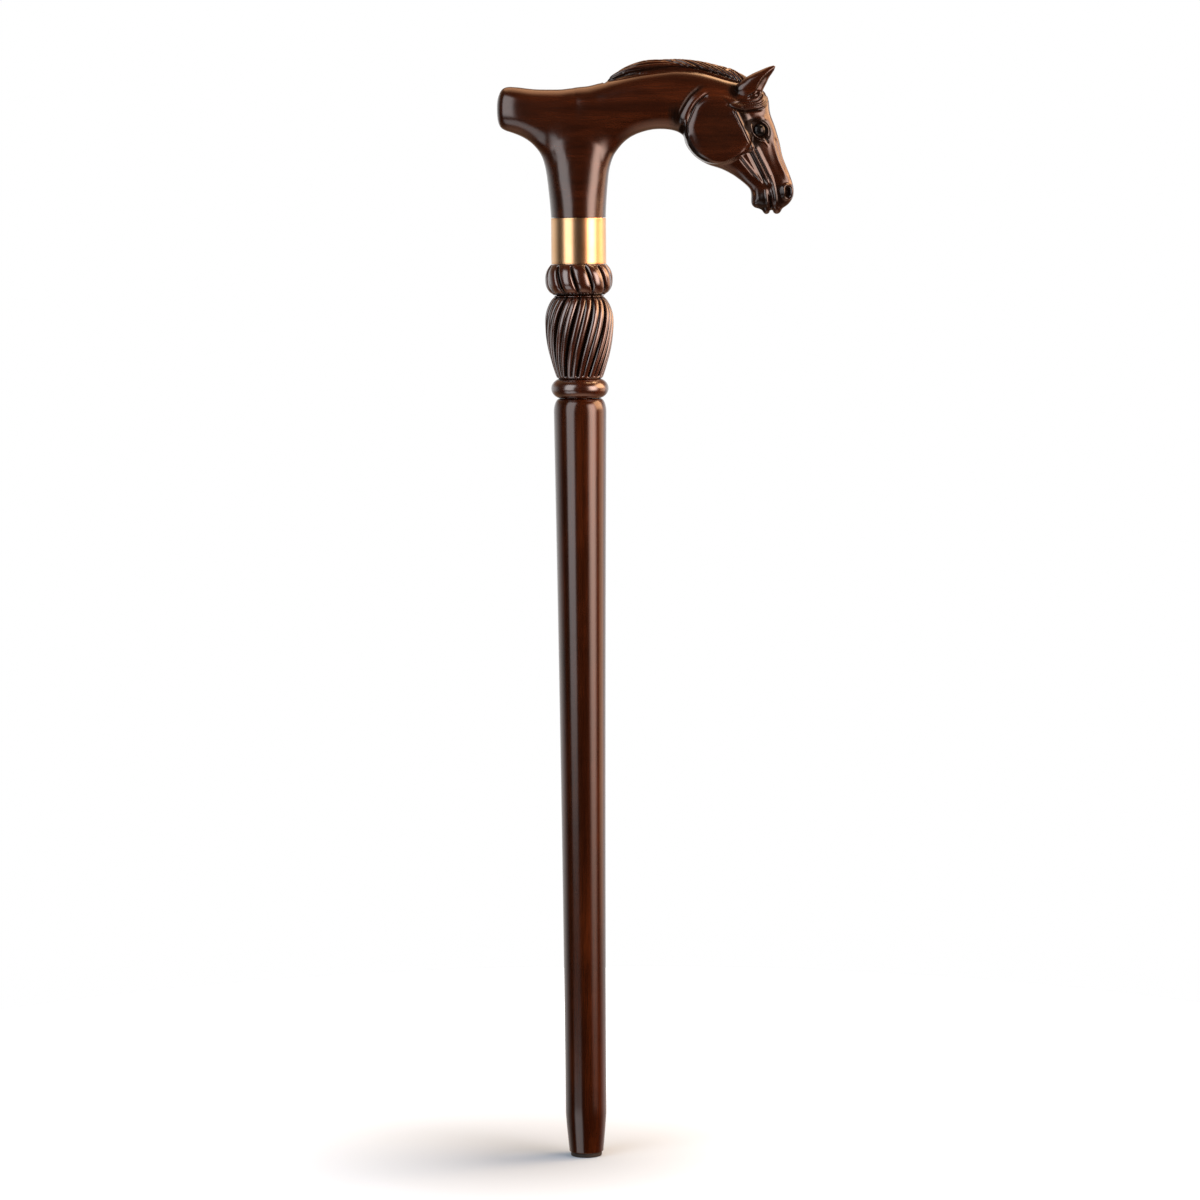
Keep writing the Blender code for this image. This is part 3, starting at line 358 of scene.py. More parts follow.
def rubber():
    sole = Material("sole_rubber")
    grains = sole.noise(sole.place(), 2500.0, 3.0)
    patches = sole.noise(sole.place(), 220.0)
    return sole.shaded(
        Base_Color=sole.ramp(patches, (0.3, (0.011, 0.009, 0.008)), (0.75, (0.032, 0.027, 0.023))),
        Roughness=sole.span(patches, 0.3, 0.7, 0.58, 0.80), Normal=sole.bump(grains, 0.25, 0.0001))


# Shaft, sole, collar and stud

SHAFT_STEPS = 128
SHAFT_RINGS = 90
PAD_STEPS = 96
COLLAR_STEPS = 160
SHAFT_TOP_RADIUS = 20.5
SHAFT_LOW_RADIUS = 16.1
SHAFT_FOOT_RADIUS = 13.5
SHAFT_FOOT_TAPER = 32.0
SHOULDER_DROP = 10.5
SHOULDER_INSET = 4.6
TAPER_POWER = 1.55
FOOT_TAPER_POWER = 1.15
EDGE_ROUND = 1.0
TENON_RADIUS = 9.0
PAD_THICKNESS = 3.0
PAD_STEM_RADIUS = 4.0
PAD_STEM_LENGTH = 12.0
PAD_STEM_CHAMFER = 0.5
PAD_UPPER_ROUND = 0.3
PAD_LOWER_ROUND = 0.7
EDGE_LINE_DEPTH = 0.12
THREAD_PITCH = 1.5
THREAD_DEPTH = 0.85
THREAD_STEEPNESS = 2.3
THREAD_STEPS = 40
STUD_CHAMFER = 1.0


def shaft_mesh():
    length = SHAFT_HIGH - SHAFT_LOW
    tenon_bore = TENON_RADIUS + FIT_GAP
    bore_floor = SECTION_BOTTOM - BLIND_SPACE
    stem_bore = PAD_STEM_RADIUS + FIT_GAP
    profile = [(tenon_bore, bore_floor), (tenon_bore, SHAFT_HIGH)]
    for angle in np.radians(np.linspace(0.0, 90.0, 19)[:-1]):
        profile.append((SHAFT_TOP_RADIUS - SHOULDER_INSET * (1.0 - math.sin(angle)),
                        SHAFT_HIGH - SHOULDER_DROP * (1.0 - math.cos(angle))))
    top = length - SHOULDER_DROP
    for height in np.linspace(top, SHAFT_FOOT_TAPER, SHAFT_RINGS):
        share = (height - SHAFT_FOOT_TAPER) / (top - SHAFT_FOOT_TAPER)
        radius = SHAFT_LOW_RADIUS + (SHAFT_TOP_RADIUS - SHAFT_LOW_RADIUS) * share ** TAPER_POWER
        profile.append((radius, SHAFT_LOW + height))
    for share in np.linspace(0.0, 1.0, 12)[1:]:
        radius = SHAFT_LOW_RADIUS + (SHAFT_FOOT_RADIUS - SHAFT_LOW_RADIUS) * share ** FOOT_TAPER_POWER
        profile.append((radius, SHAFT_LOW + SHAFT_FOOT_TAPER + (EDGE_ROUND - SHAFT_FOOT_TAPER) * share))
    profile += arc((SHAFT_FOOT_RADIUS - EDGE_ROUND, SHAFT_LOW + EDGE_ROUND), EDGE_ROUND, -20.0, -90.0, 5)
    profile += [(stem_bore, SHAFT_LOW), (stem_bore, SHAFT_LOW + PAD_STEM_LENGTH + BLIND_SPACE)]
    return turned("shaft", profile, SHAFT_STEPS)


def pad_mesh():
    radius = SHAFT_FOOT_RADIUS - EDGE_ROUND - FIT_GAP
    top = PAD_THICKNESS + PAD_STEM_LENGTH
    profile = [(PAD_STEM_RADIUS - PAD_STEM_CHAMFER, top), (PAD_STEM_RADIUS, top - PAD_STEM_CHAMFER),
               (PAD_STEM_RADIUS, PAD_THICKNESS)]
    upper, lower = PAD_UPPER_ROUND, PAD_LOWER_ROUND
    profile += arc((radius - upper, PAD_THICKNESS - upper), upper, 90.0, 0.0, 4)
    profile += arc((radius - lower, lower), lower, 0.0, -90.0, 6)
    return turned("foot_pad", profile, PAD_STEPS)


def collar_mesh():
    """Brass tube with a fine turned line inside each edge."""
    inside = COLLAR_RADIUS - COLLAR_WALL
    line = COLLAR_RADIUS - EDGE_LINE_DEPTH
    edge = [(COLLAR_RADIUS - 0.35, 0.0), (line, 0.08), (COLLAR_RADIUS, 0.30), (COLLAR_RADIUS, 0.95),
            (line, 1.05), (line, 1.25), (COLLAR_RADIUS, 1.35)]
    profile = [(inside, COLLAR_HIGH), (inside, COLLAR_LOW)]
    profile += [(r, COLLAR_LOW + z) for r, z in edge]
    profile += [(COLLAR_RADIUS, z) for z in np.linspace(COLLAR_LOW, COLLAR_HIGH, 14)[1:-1]]
    profile += [(r, COLLAR_HIGH - z) for r, z in reversed(edge)]
    return turned("collar", profile, COLLAR_STEPS, closed=True)


def stud_mesh():
    """Rod with a plain thread, its ends chamfered."""
    angle = np.arange(THREAD_STEPS) * math.tau / THREAD_STEPS
    rows = []
    for z in np.arange(STUD_LOW, STUD_HIGH + 1e-6, THREAD_PITCH / 6.0):
        turn = (z / THREAD_PITCH - angle / math.tau) % 1.0
        cut = np.clip(1.0 - np.abs(turn - 0.5) * THREAD_STEEPNESS, 0.0, 1.0)
        limit = STUD_RADIUS - STUD_CHAMFER + np.minimum(z - STUD_LOW, STUD_HIGH - z)
        rows.append(ring(np.minimum(STUD_RADIUS - THREAD_DEPTH * cut, limit), angle, z))
    return mesh_of_rows("joining_stud", rows, 70.0)


# Carved section

RING_RADIUS = 22.3
RING_HEIGHT = 15.0
RING_NECK_RADIUS = 16.0
RING_BULGE_POWER = 1.35
VASE_HEIGHT = 64.0
VASE_RADIUS = 26.68
VASE_FOOT_RADIUS = 17.5
VASE_WAIST_RADIUS = 19.6
VASE_BELLY_SHARE = 0.33
VASE_TWIST = -39.0
VASE_SHOULDER_POWER = 2.3
VASE_TAPER_POWER = 1.8
BEAD_HEIGHT = 24.4
BEAD_RADIUS = 26.3
BEAD_TOP_RADIUS = 21.7
BEAD_TWIST = 18.0
BEAD_POWER = 2.5
GROOVE_PHASE = 1.0
LOBES = 12
COLUMNS_IN_RIB = 13
WAIST = RING_HEIGHT + VASE_HEIGHT
BEAD_TOP = WAIST + BEAD_HEIGHT
SPIGOT_CHAMFER = 0.5
TENON_CHAMFER = 0.6
BEAD_SLICES = 52
VASE_SLICES = 122
RING_SLICES = 34

# Depths of the fluting in millimetres, and half widths of its grooves as shares of half a lobe
CROWN_REACH = 0.95
BEAD_CROWN_DEPTH = 2.7
BEAD_GROOVE_DEPTH = 2.1
BEAD_GROOVE_WIDTH = 0.36
VASE_CROWN_DEPTH = 1.5
VASE_DEEP_DEPTH = 2.4
VASE_DEEP_WIDTH = 0.43
VASE_SHALLOW_DEPTH = 0.75
VASE_SHALLOW_WIDTH = 0.20
VASE_CALM_SHARE = 0.25
RIM_GROOVE_DEPTH = 0.9
RIM_GROOVE_WIDTH = 0.22

# Rim between the bead and the vase: height over the waist, and how far it stands out there
RIM = ((0.95, -1.6), (0.62, -1.5), (0.42, -0.1), (0.22, 0.28), (0.0, 0.40), (-0.22, 0.28), (-0.42, -0.1),
       (-0.62, -1.2))
RIM_HEIGHT = 1.1
RIM_SET_BACK = 0.5
RIM_HOLLOW = -0.2
FOOT_LIP = 0.9
FOOT_ROUND = 1.5


def envelope(height):
    """Radius over the lobes, from the foot of the vase to the top of the bead."""
    if height < WAIST:
        from_top = (WAIST - height) / VASE_HEIGHT
        if from_top < VASE_BELLY_SHARE:
            share = 1.0 - from_top / VASE_BELLY_SHARE
            return VASE_RADIUS - (VASE_RADIUS - VASE_WAIST_RADIUS) * share ** VASE_SHOULDER_POWER
        share = (from_top - VASE_BELLY_SHARE) / (1.0 - VASE_BELLY_SHARE)
        return VASE_RADIUS - (VASE_RADIUS - VASE_FOOT_RADIUS) * share ** VASE_TAPER_POWER
    share = (height - WAIST) / BEAD_HEIGHT * 2.0 - 1.0
    end = VASE_WAIST_RADIUS if share < 0.0 else BEAD_TOP_RADIUS
    return BEAD_RADIUS - (BEAD_RADIUS - end) * abs(share) ** BEAD_POWER


def twist(height):
    if height < WAIST:
        return math.radians(VASE_TWIST) * (WAIST - height) / VASE_HEIGHT
    return -math.radians(BEAD_TWIST) * (height - WAIST) / BEAD_HEIGHT


def lobe_columns():
    """Place across a lobe, -1 to 1, of each column: closer together at the grooves."""
    half = (1.0 - np.cos(np.pi * np.arange(COLUMNS_IN_RIB) / COLUMNS_IN_RIB)) / 2.0
    return np.concatenate([half - 1.0, half])


def smooth_step(value):
    value = np.clip(value, 0.0, 1.0)
    return value * value * (3.0 - 2.0 * value)


def notch(distance, half_width):
    """Rounded V, 1 in its middle and 0 at its half width."""
    return 1.0 - smooth_step(distance / half_width) ** 0.8


def fall_off(across):
    """How far a round crown falls back at a place across it, 0 in its middle and 1 at its edge."""
    return 1.0 - np.sqrt(np.maximum(1.0 - across ** 2, 0.0))


def bead_cut(across, share):
    """Depth cut into the bead, at a share of its height from the waist, and its grooves' painted shade and
    stain.
    """
    swell = math.sin(math.pi * (0.06 + 0.86 * share)) ** 0.6
    crown = fall_off(np.abs(across) * CROWN_REACH)
    groove = notch(1.0 - np.abs(across), BEAD_GROOVE_WIDTH)
    depth = swell * (BEAD_CROWN_DEPTH * crown + BEAD_GROOVE_DEPTH * groove)
    return depth, smooth_step(groove * 1.5) * (0.35 + 0.65 * swell)


def vase_cut(across, share):
    """Depth cut into the vase, at a share of its height from the waist, and the painted shade and stain of
    its grooves and rib flanks.
    """
    swell = math.sin(math.pi / 2.0 * min(share / 0.42, 1.0)) ** 0.8
    if share > 0.5:
        swell *= 1.0 - 0.40 * (share - 0.5) / 0.5
    swell = VASE_CALM_SHARE + (1.0 - VASE_CALM_SHARE) * swell
    rib = np.abs(2.0 * np.abs(across) - 1.0)
    crown = fall_off(rib * CROWN_REACH)
    deep = notch(1.0 - np.abs(across), VASE_DEEP_WIDTH)
    shallow = notch(np.abs(across), VASE_SHALLOW_WIDTH)
    depth = swell * (VASE_CROWN_DEPTH * crown + VASE_DEEP_DEPTH * deep + VASE_SHALLOW_DEPTH * shallow)
    stain_and_shade = np.maximum(smooth_step(deep * 1.6), 0.85 * smooth_step(shallow * 1.2))
    # Painted shade on the flanks of the ribs, deepest near the waist
    near_waist = smooth_step(1.2 - 3.0 * share)
    return depth, np.maximum(stain_and_shade, (0.45 + 0.50 * near_waist) * rib ** 2)


def bead_ring(across, share):
    """Radius, height and painted shade and stain of the bead at a share of its height."""
    height = WAIST + RIM_HEIGHT + (BEAD_HEIGHT - RIM_HEIGHT) * share
    depth, stain_and_shade = bead_cut(across, share)
    near_top = smooth_step((share - 0.90) / 0.10)
    near_rim = smooth_step((0.10 - share) / 0.10)
    radius = envelope(height) - depth * (1.0 - 0.55 * near_top) - 0.9 * near_rim
    # Painted shadow in the gap over the rim
    return radius, height, np.maximum(stain_and_shade, 0.95 * near_rim)


def vase_ring(across, share):
    """Radius, height and painted shade and stain of the vase at a share from the waist; its grooves end over
    the foot.
    """
    height = WAIST - VASE_HEIGHT * share
    level = height - RING_HEIGHT
    depth, stain_and_shade = vase_cut(across, share)
    edge = np.minimum(1.0 - np.abs(across), np.abs(across))
    tip = 1.6 + 1.5 * fall_off(1.0 - 2.0 * edge)
    run_out = np.clip((level - FOOT_LIP) / tip, 0.0, 1.0)
    body = envelope(height) - depth * smooth_step(run_out * 1.1)
    fall = np.sqrt(np.clip(1.0 - (1.0 - level / FOOT_ROUND) ** 2, 0.0, 1.0)) if level < FOOT_ROUND else 1.0
    near_rim = smooth_step((0.05 - share) / 0.05)
    radius = RING_NECK_RADIUS + (body - RING_NECK_RADIUS) * fall - 0.7 * near_rim
    # Painted shade in the gap under the rim and in the crease over the foot
    dark = np.maximum(0.9 * near_rim, 0.9 * smooth_step((FOOT_LIP - level) / FOOT_LIP))
    return radius, height, np.maximum(stain_and_shade * smooth_step(run_out * 1.5), dark)


def section_rows():
    """Rings of points from the stud's bore over the whole section to the tenon, with their painted shade and
    stain.
    """
    across = np.tile(lobe_columns(), LOBES)
    lobe = np.repeat(np.arange(LOBES), 2 * COLUMNS_IN_RIB)
    base_angle = math.tau * (lobe + 0.5 + across / 2.0) / LOBES + math.radians(GROOVE_PHASE)
    rows, stains_and_shades = [], []

    def add(radius, height, turn_at, stain_and_shade=0.0):
        rows.append(ring(radius, base_angle + twist(turn_at), SECTION_LOW + height))
        stains_and_shades.append(np.broadcast_to(stain_and_shade, across.shape))

    spigot_top = SECTION_SPIGOT_TOP - SECTION_LOW
    bore_floor = STUD_LOW - BLIND_SPACE - SECTION_LOW
    for radius, height in ((BORE_RADIUS, bore_floor), (BORE_RADIUS, spigot_top),
                           (SPIGOT_RADIUS - SPIGOT_CHAMFER, spigot_top),
                           (SPIGOT_RADIUS, spigot_top - SPIGOT_CHAMFER), (SPIGOT_RADIUS, BEAD_TOP)):
        add(radius, height, BEAD_TOP)
    for share in (1.0 + np.cos(np.linspace(0.0, math.pi, BEAD_SLICES))) / 2.0:
        radius, height, stain_and_shade = bead_ring(across, share)
        add(radius, height, height, stain_and_shade)
    groove = notch(1.0 - np.abs(across), RIM_GROOVE_WIDTH)
    # The rim's raised line lightly darkened, its hollows filled with painted shade
    for over_waist, bump in RIM:
        raised = bump > RIM_HOLLOW
        radius = VASE_WAIST_RADIUS - RIM_SET_BACK + bump - RIM_GROOVE_DEPTH * groove * raised
        add(radius, WAIST + over_waist, WAIST, np.maximum(0.15 if raised else 1.0, groove))
    for share in np.linspace(0.012, 1.0, VASE_SLICES):
        radius, height, stain_and_shade = vase_ring(across, share)
        add(radius, height, height, stain_and_shade)
    for angle in np.radians(np.linspace(86.0, -86.0, RING_SLICES)):
        bulge = math.cos(angle) ** RING_BULGE_POWER
        reach = RING_NECK_RADIUS + (RING_RADIUS - RING_NECK_RADIUS) * bulge
        # Painted shade where the ring turns in to its neck, and on the neck
        dark = 0.9 * smooth_step((0.22 - bulge) / 0.22)
        add(reach, RING_HEIGHT / 2.0 * (1.0 + math.sin(angle)), RING_HEIGHT, dark)
    add(RING_NECK_RADIUS, 0.0, RING_HEIGHT, 0.9)
    tenon_end = SECTION_BOTTOM - SECTION_LOW
    add(TENON_RADIUS, 0.0, RING_HEIGHT)
    add(TENON_RADIUS, tenon_end + TENON_CHAMFER, RING_HEIGHT)
    add(TENON_RADIUS - TENON_CHAMFER, tenon_end, RING_HEIGHT)
    return rows, stains_and_shades


def section_mesh():
    rows, stains_and_shades = section_rows()
    mesh = mesh_of_rows("carved_section", rows, 62.0)
    add_number(mesh, "stain_and_shade", np.concatenate([*stains_and_shades, [0.0, 0.0]]))
    return mesh


# Handle: the main forms, as sections (inner point, outer point, half width, squareness,
# how much narrower the outer side is). All sections of POST, MANE and EAR share the last two.

POST = [(*row, 2, 0) for row in (
    (21.3, -8, -21.3, -8, 21.3), (21.3, 0, -21.3, 0, 21.3), (21.6, 8, -21.8, 8, 21.2),
    (22.2, 17, -22.6, 17, 20.8),
)]
GRIP = [
    (-23.9, 29, 23.2, 31, 20.3, 2.1, 0), (-24.9, 36, 25, 46, 19.6, 2.1, 0),
    (-26.2, 42, 26, 62, 18.9, 2.2, 0), (-28.2, 47.7, 20, 84, 18.2, 2.2, 0),
    (-31.5, 52.9, 4, 98.6, 17.4, 2.2, 0), (-37, 58.5, -15, 98.6, 16.8, 2.3, 0),
    (-43.5, 62.6, -33, 99, 16.1, 2.3, 0), (-50, 65.3, -46.5, 100.6, 15, 2.3, 0),
    (-56, 67.4, -54.4, 100.8, 13.1, 2.3, 0), (-59.6, 69.8, -58.6, 98.6, 11, 2.3, 0),
    (-61.5, 74, -61.1, 93.6, 8.2, 2.3, 0), (-62.2, 79, -62.2, 88.5, 4.8, 2.3, 0),
]
BRIDGE = [
    (-42, 66, -40, 98.2, 12, 2.2, 0), (-30, 60, -28, 98.7, 16.4, 2.2, 0), (-10, 50, -9, 98.8, 17.1, 2.2, 0),
    (11, 47, 8, 100.8, 17.2, 2.2, 0), (29, 55, 26, 105.6, 16.8, 2.2, 0.05),
    (45, 66, 42, 108.8, 14, 2.2, 0.10),
]
HEAD = [
    (23.3, 29, -23.9, 31, 20.3, 2.1, 0), (24.2, 36, -25.3, 46, 19.6, 2.1, 0),
    (25.6, 41.7, -28, 62, 18.9, 2.2, 0), (27.9, 47.7, -24, 84, 18.2, 2.2, 0),
    (31.3, 52.6, -8, 98.2, 17.5, 2.2, 0), (36, 57.9, 10, 101.4, 17, 2.2, 0.05),
    (42.6, 62.5, 27, 106.3, 16.6, 2.2, 0.10), (51, 65.7, 44, 110.5, 16.2, 2.2, 0.15),
    (60, 67.4, 60, 113, 15.8, 2.2, 0.18), (69.5, 67.2, 78, 114.6, 15.4, 2.2, 0.20),
    (77, 65.4, 97, 112.8, 15.2, 2.2, 0.22), (81.5, 62.2, 115, 107.6, 15.2, 2.2, 0.22),
    (82.8, 57.2, 129.4, 103, 15.4, 2.2, 0.18), (85.5, 52, 141.4, 98.6, 15.4, 2.3, 0.10),
    (91, 45.8, 147.4, 90.2, 15, 2.5, 0.06), (100, 40.2, 149, 79, 14, 2.8, 0.06),
    (110.5, 36.6, 153, 67.5, 12.5, 3.1, 0.09), (118.5, 32.6, 156.1, 56.4, 10.8, 3.1, 0.10),
    (124.6, 28.4, 158.3, 45.8, 9.4, 3.5, 0.06), (129.6, 24.3, 161.6, 37, 8.5, 4, 0.03),
    (133, 20.5, 164.8, 29, 8.3, 3.2, 0.02), (133.8, 16, 166.9, 21, 8.7, 2.3, 0),
    (133.8, 11.8, 166.3, 14.3, 8.5, 2.3, 0), (136, 7.8, 162.5, 8.8, 7, 2.2, 0),
    (141, 5, 157, 5.2, 4.2, 2.2, 0),
]
MANE = [(*row, 2, 0.3) for row in (
    (17, 100, 19, 103, 1.5), (26, 101, 27, 109.4, 4), (38, 104, 38.5, 116.2, 5.2),
    (52, 107, 52, 120.5, 5.8), (66, 109, 66, 121.2, 6), (80, 110, 81, 121.3, 6), (93, 108, 95, 119.6, 6),
    (105, 104, 108, 116.6, 6), (116, 100, 121, 112.4, 5.8), (125, 96, 131, 107, 5),
    (131, 92, 137, 101, 3.5),
)]
EAR = [(*row, 2, 0) for row in (
    (125, 88, 140, 88, 3), (120.6, 97.2, 143.4, 97, 6.5), (127.4, 104.6, 146.2, 102.4, 6.2),
    (134, 108.8, 148.6, 106.6, 5), (140.8, 111.8, 150.8, 109.8, 3.6), (146.8, 114.2, 152.2, 112.2, 2.1),
    (151.2, 115.4, 152.9, 114.6, 0.9),
)]
EAR_OFFSET = 7.2
EAR_SPLAY = 3.0

# Swellings of the head: middle (along, out, above) and half sizes
MIDDLE_SWELLINGS = [
    ((139, 0, 11.5), (5.4, 6.4, 5.6)),
    ((145.6, 0, 6.8), (3.6, 5.8, 5.6)),
    ((153.6, 0, 7.5), (4.4, 6.4, 6.2)),
]
SIDE_SWELLINGS = [((137.4, 8.9, 74.4), (8.4, 3.8, 4.4)), ((161, 5.6, 18.5), (5.6, 4.8, 6.4))]

CHEEK_PLACE = (108.5, 66.5)
CHEEK_RADIUS = 26.6
CHEEK_STANDS_OUT = 17.2
CHEEK_HALF_THICKNESS = 8.5
CHEEK_SQUARENESS = 6.0
CHEEK_TILT_ACROSS = 2.0
CHEEK_TILT_UP = 4.0

CORE_VOXEL = 0.8
CORE_PASSES = 8
SKIN_VOXEL = 0.34
SKIN_PASSES = 8
HANDLE_TRIANGLES = 188000
SECTION_POINTS = 72
EAR_POINTS = 40
CHEEK_STEPS = 96


def section_ring(station, offset=0.0, count=SECTION_POINTS):
    x0, z0, x1, z1, half_width, square, narrow = station
    angle = np.arange(count) * math.tau / count
    across, along = (np.sign(v) * np.abs(v) ** (2.0 / square) for v in (np.cos(angle), np.sin(angle)))
    width = offset + max(half_width, 0.3) * across * (1.0 - narrow * along)
    return np.stack([(x0 + x1) / 2.0 + (x1 - x0) / 2.0 * along, width,
                     (z0 + z1) / 2.0 + (z1 - z0) / 2.0 * along], axis=-1)


def loft(name, stations):
    return mesh_of_rows(name, [section_ring(s) for s in catmull_rom(stations)], None)


def swapped(stations):
    return [(x1, z1, x0, z0, *rest) for x0, z0, x1, z1, *rest in stations]


def ellipsoid(middle, half_sizes):
    bm = bmesh.new()
    bmesh.ops.create_uvsphere(bm, u_segments=40, v_segments=24, radius=1.0)
    matrix = Matrix.Translation(Vector(middle) * MM) @ Matrix.Diagonal((*(Vector(half_sizes) * MM), 1.0))
    bmesh.ops.transform(bm, matrix=matrix, verts=bm.verts)
    return finished_mesh(bm, "swelling")


def cheek_mesh(side):
    power = 2.0 / CHEEK_SQUARENESS
    profile = []
    for angle in np.linspace(0.0, math.pi, 41)[1:-1]:
        profile.append((CHEEK_RADIUS * math.sin(angle) ** power,
                        CHEEK_HALF_THICKNESS * math.copysign(abs(math.cos(angle)) ** power, math.cos(angle))))
    mesh = turned("cheek", profile, CHEEK_STEPS, None)
    across, up = (math.tan(math.radians(a)) for a in (CHEEK_TILT_ACROSS, CHEEK_TILT_UP))
    out = side * (CHEEK_STANDS_OUT - CHEEK_HALF_THICKNESS)
    return turned_to(mesh, (across, side, up), (CHEEK_PLACE[0], out, CHEEK_PLACE[1]))


def ear_mesh(side):
    stations = catmull_rom(EAR)
    last = len(stations) - 1
    offsets = [side * (EAR_OFFSET + EAR_SPLAY * k / last) for k in range(last + 1)]
    rings = [section_ring(s, offset, EAR_POINTS) for s, offset in zip(stations, offsets)]
    return mesh_of_rows("ear", rings, None)


def melted(name, meshes, voxel, passes):
    """Overlapping bodies melted into one skin, softened where they meet."""
    bm = bmesh.new()
    for mesh in meshes:
        bm.from_mesh(mesh)
    blend = ("REMESH", {"mode": "VOXEL", "voxel_size": voxel * MM, "use_smooth_shade": True})
    soften = ("SMOOTH", {"factor": 0.5, "iterations": passes})
    return modified(finished_mesh(bm, name), blend, soften)


def handle_skin():
    bodies = [loft("grip", swapped(POST) + GRIP), loft("head", POST + HEAD), loft("bridge", BRIDGE)]
    bodies += [ellipsoid(*swelling) for swelling in MIDDLE_SWELLINGS]
    for side in SIDES:
        bodies.append(cheek_mesh(side))
        bodies += [ellipsoid((x, y * side, z), sizes) for (x, y, z), sizes in SIDE_SWELLINGS]
    core = melted("core", bodies, CORE_VOXEL, CORE_PASSES)
    return melted("skin", [core, loft("mane", MANE), *map(ear_mesh, SIDES)], SKIN_VOXEL, SKIN_PASSES)


# Handle: the carving. A stroke on one side may reach a little past the middle of the handle, and
# leaves out skin that faces the other way.

FAR_OUT = 100.0
PAST_MIDDLE = 0.4
FACES_AWAY = -0.25
ROUND_FORM_DEPTH = 9.0
LIFT_PASSES = 3
# Passes that even out the painted shade and stain
STAIN_AND_SHADE_PASSES = 2


def curve(points):
    """Places and values of a smooth curve through (place, value) points, for np.interp."""
    return catmull_rom(points).T


def grown(share, ends, fade):
    """Size of a stroke along its length: 1 between its ends, and the given sizes at them."""
    size = ends[0] + (1.0 - ends[0]) * smooth_step(share / fade)
    return size * (ends[1] + (1.0 - ends[1]) * smooth_step((1.0 - share) / fade))


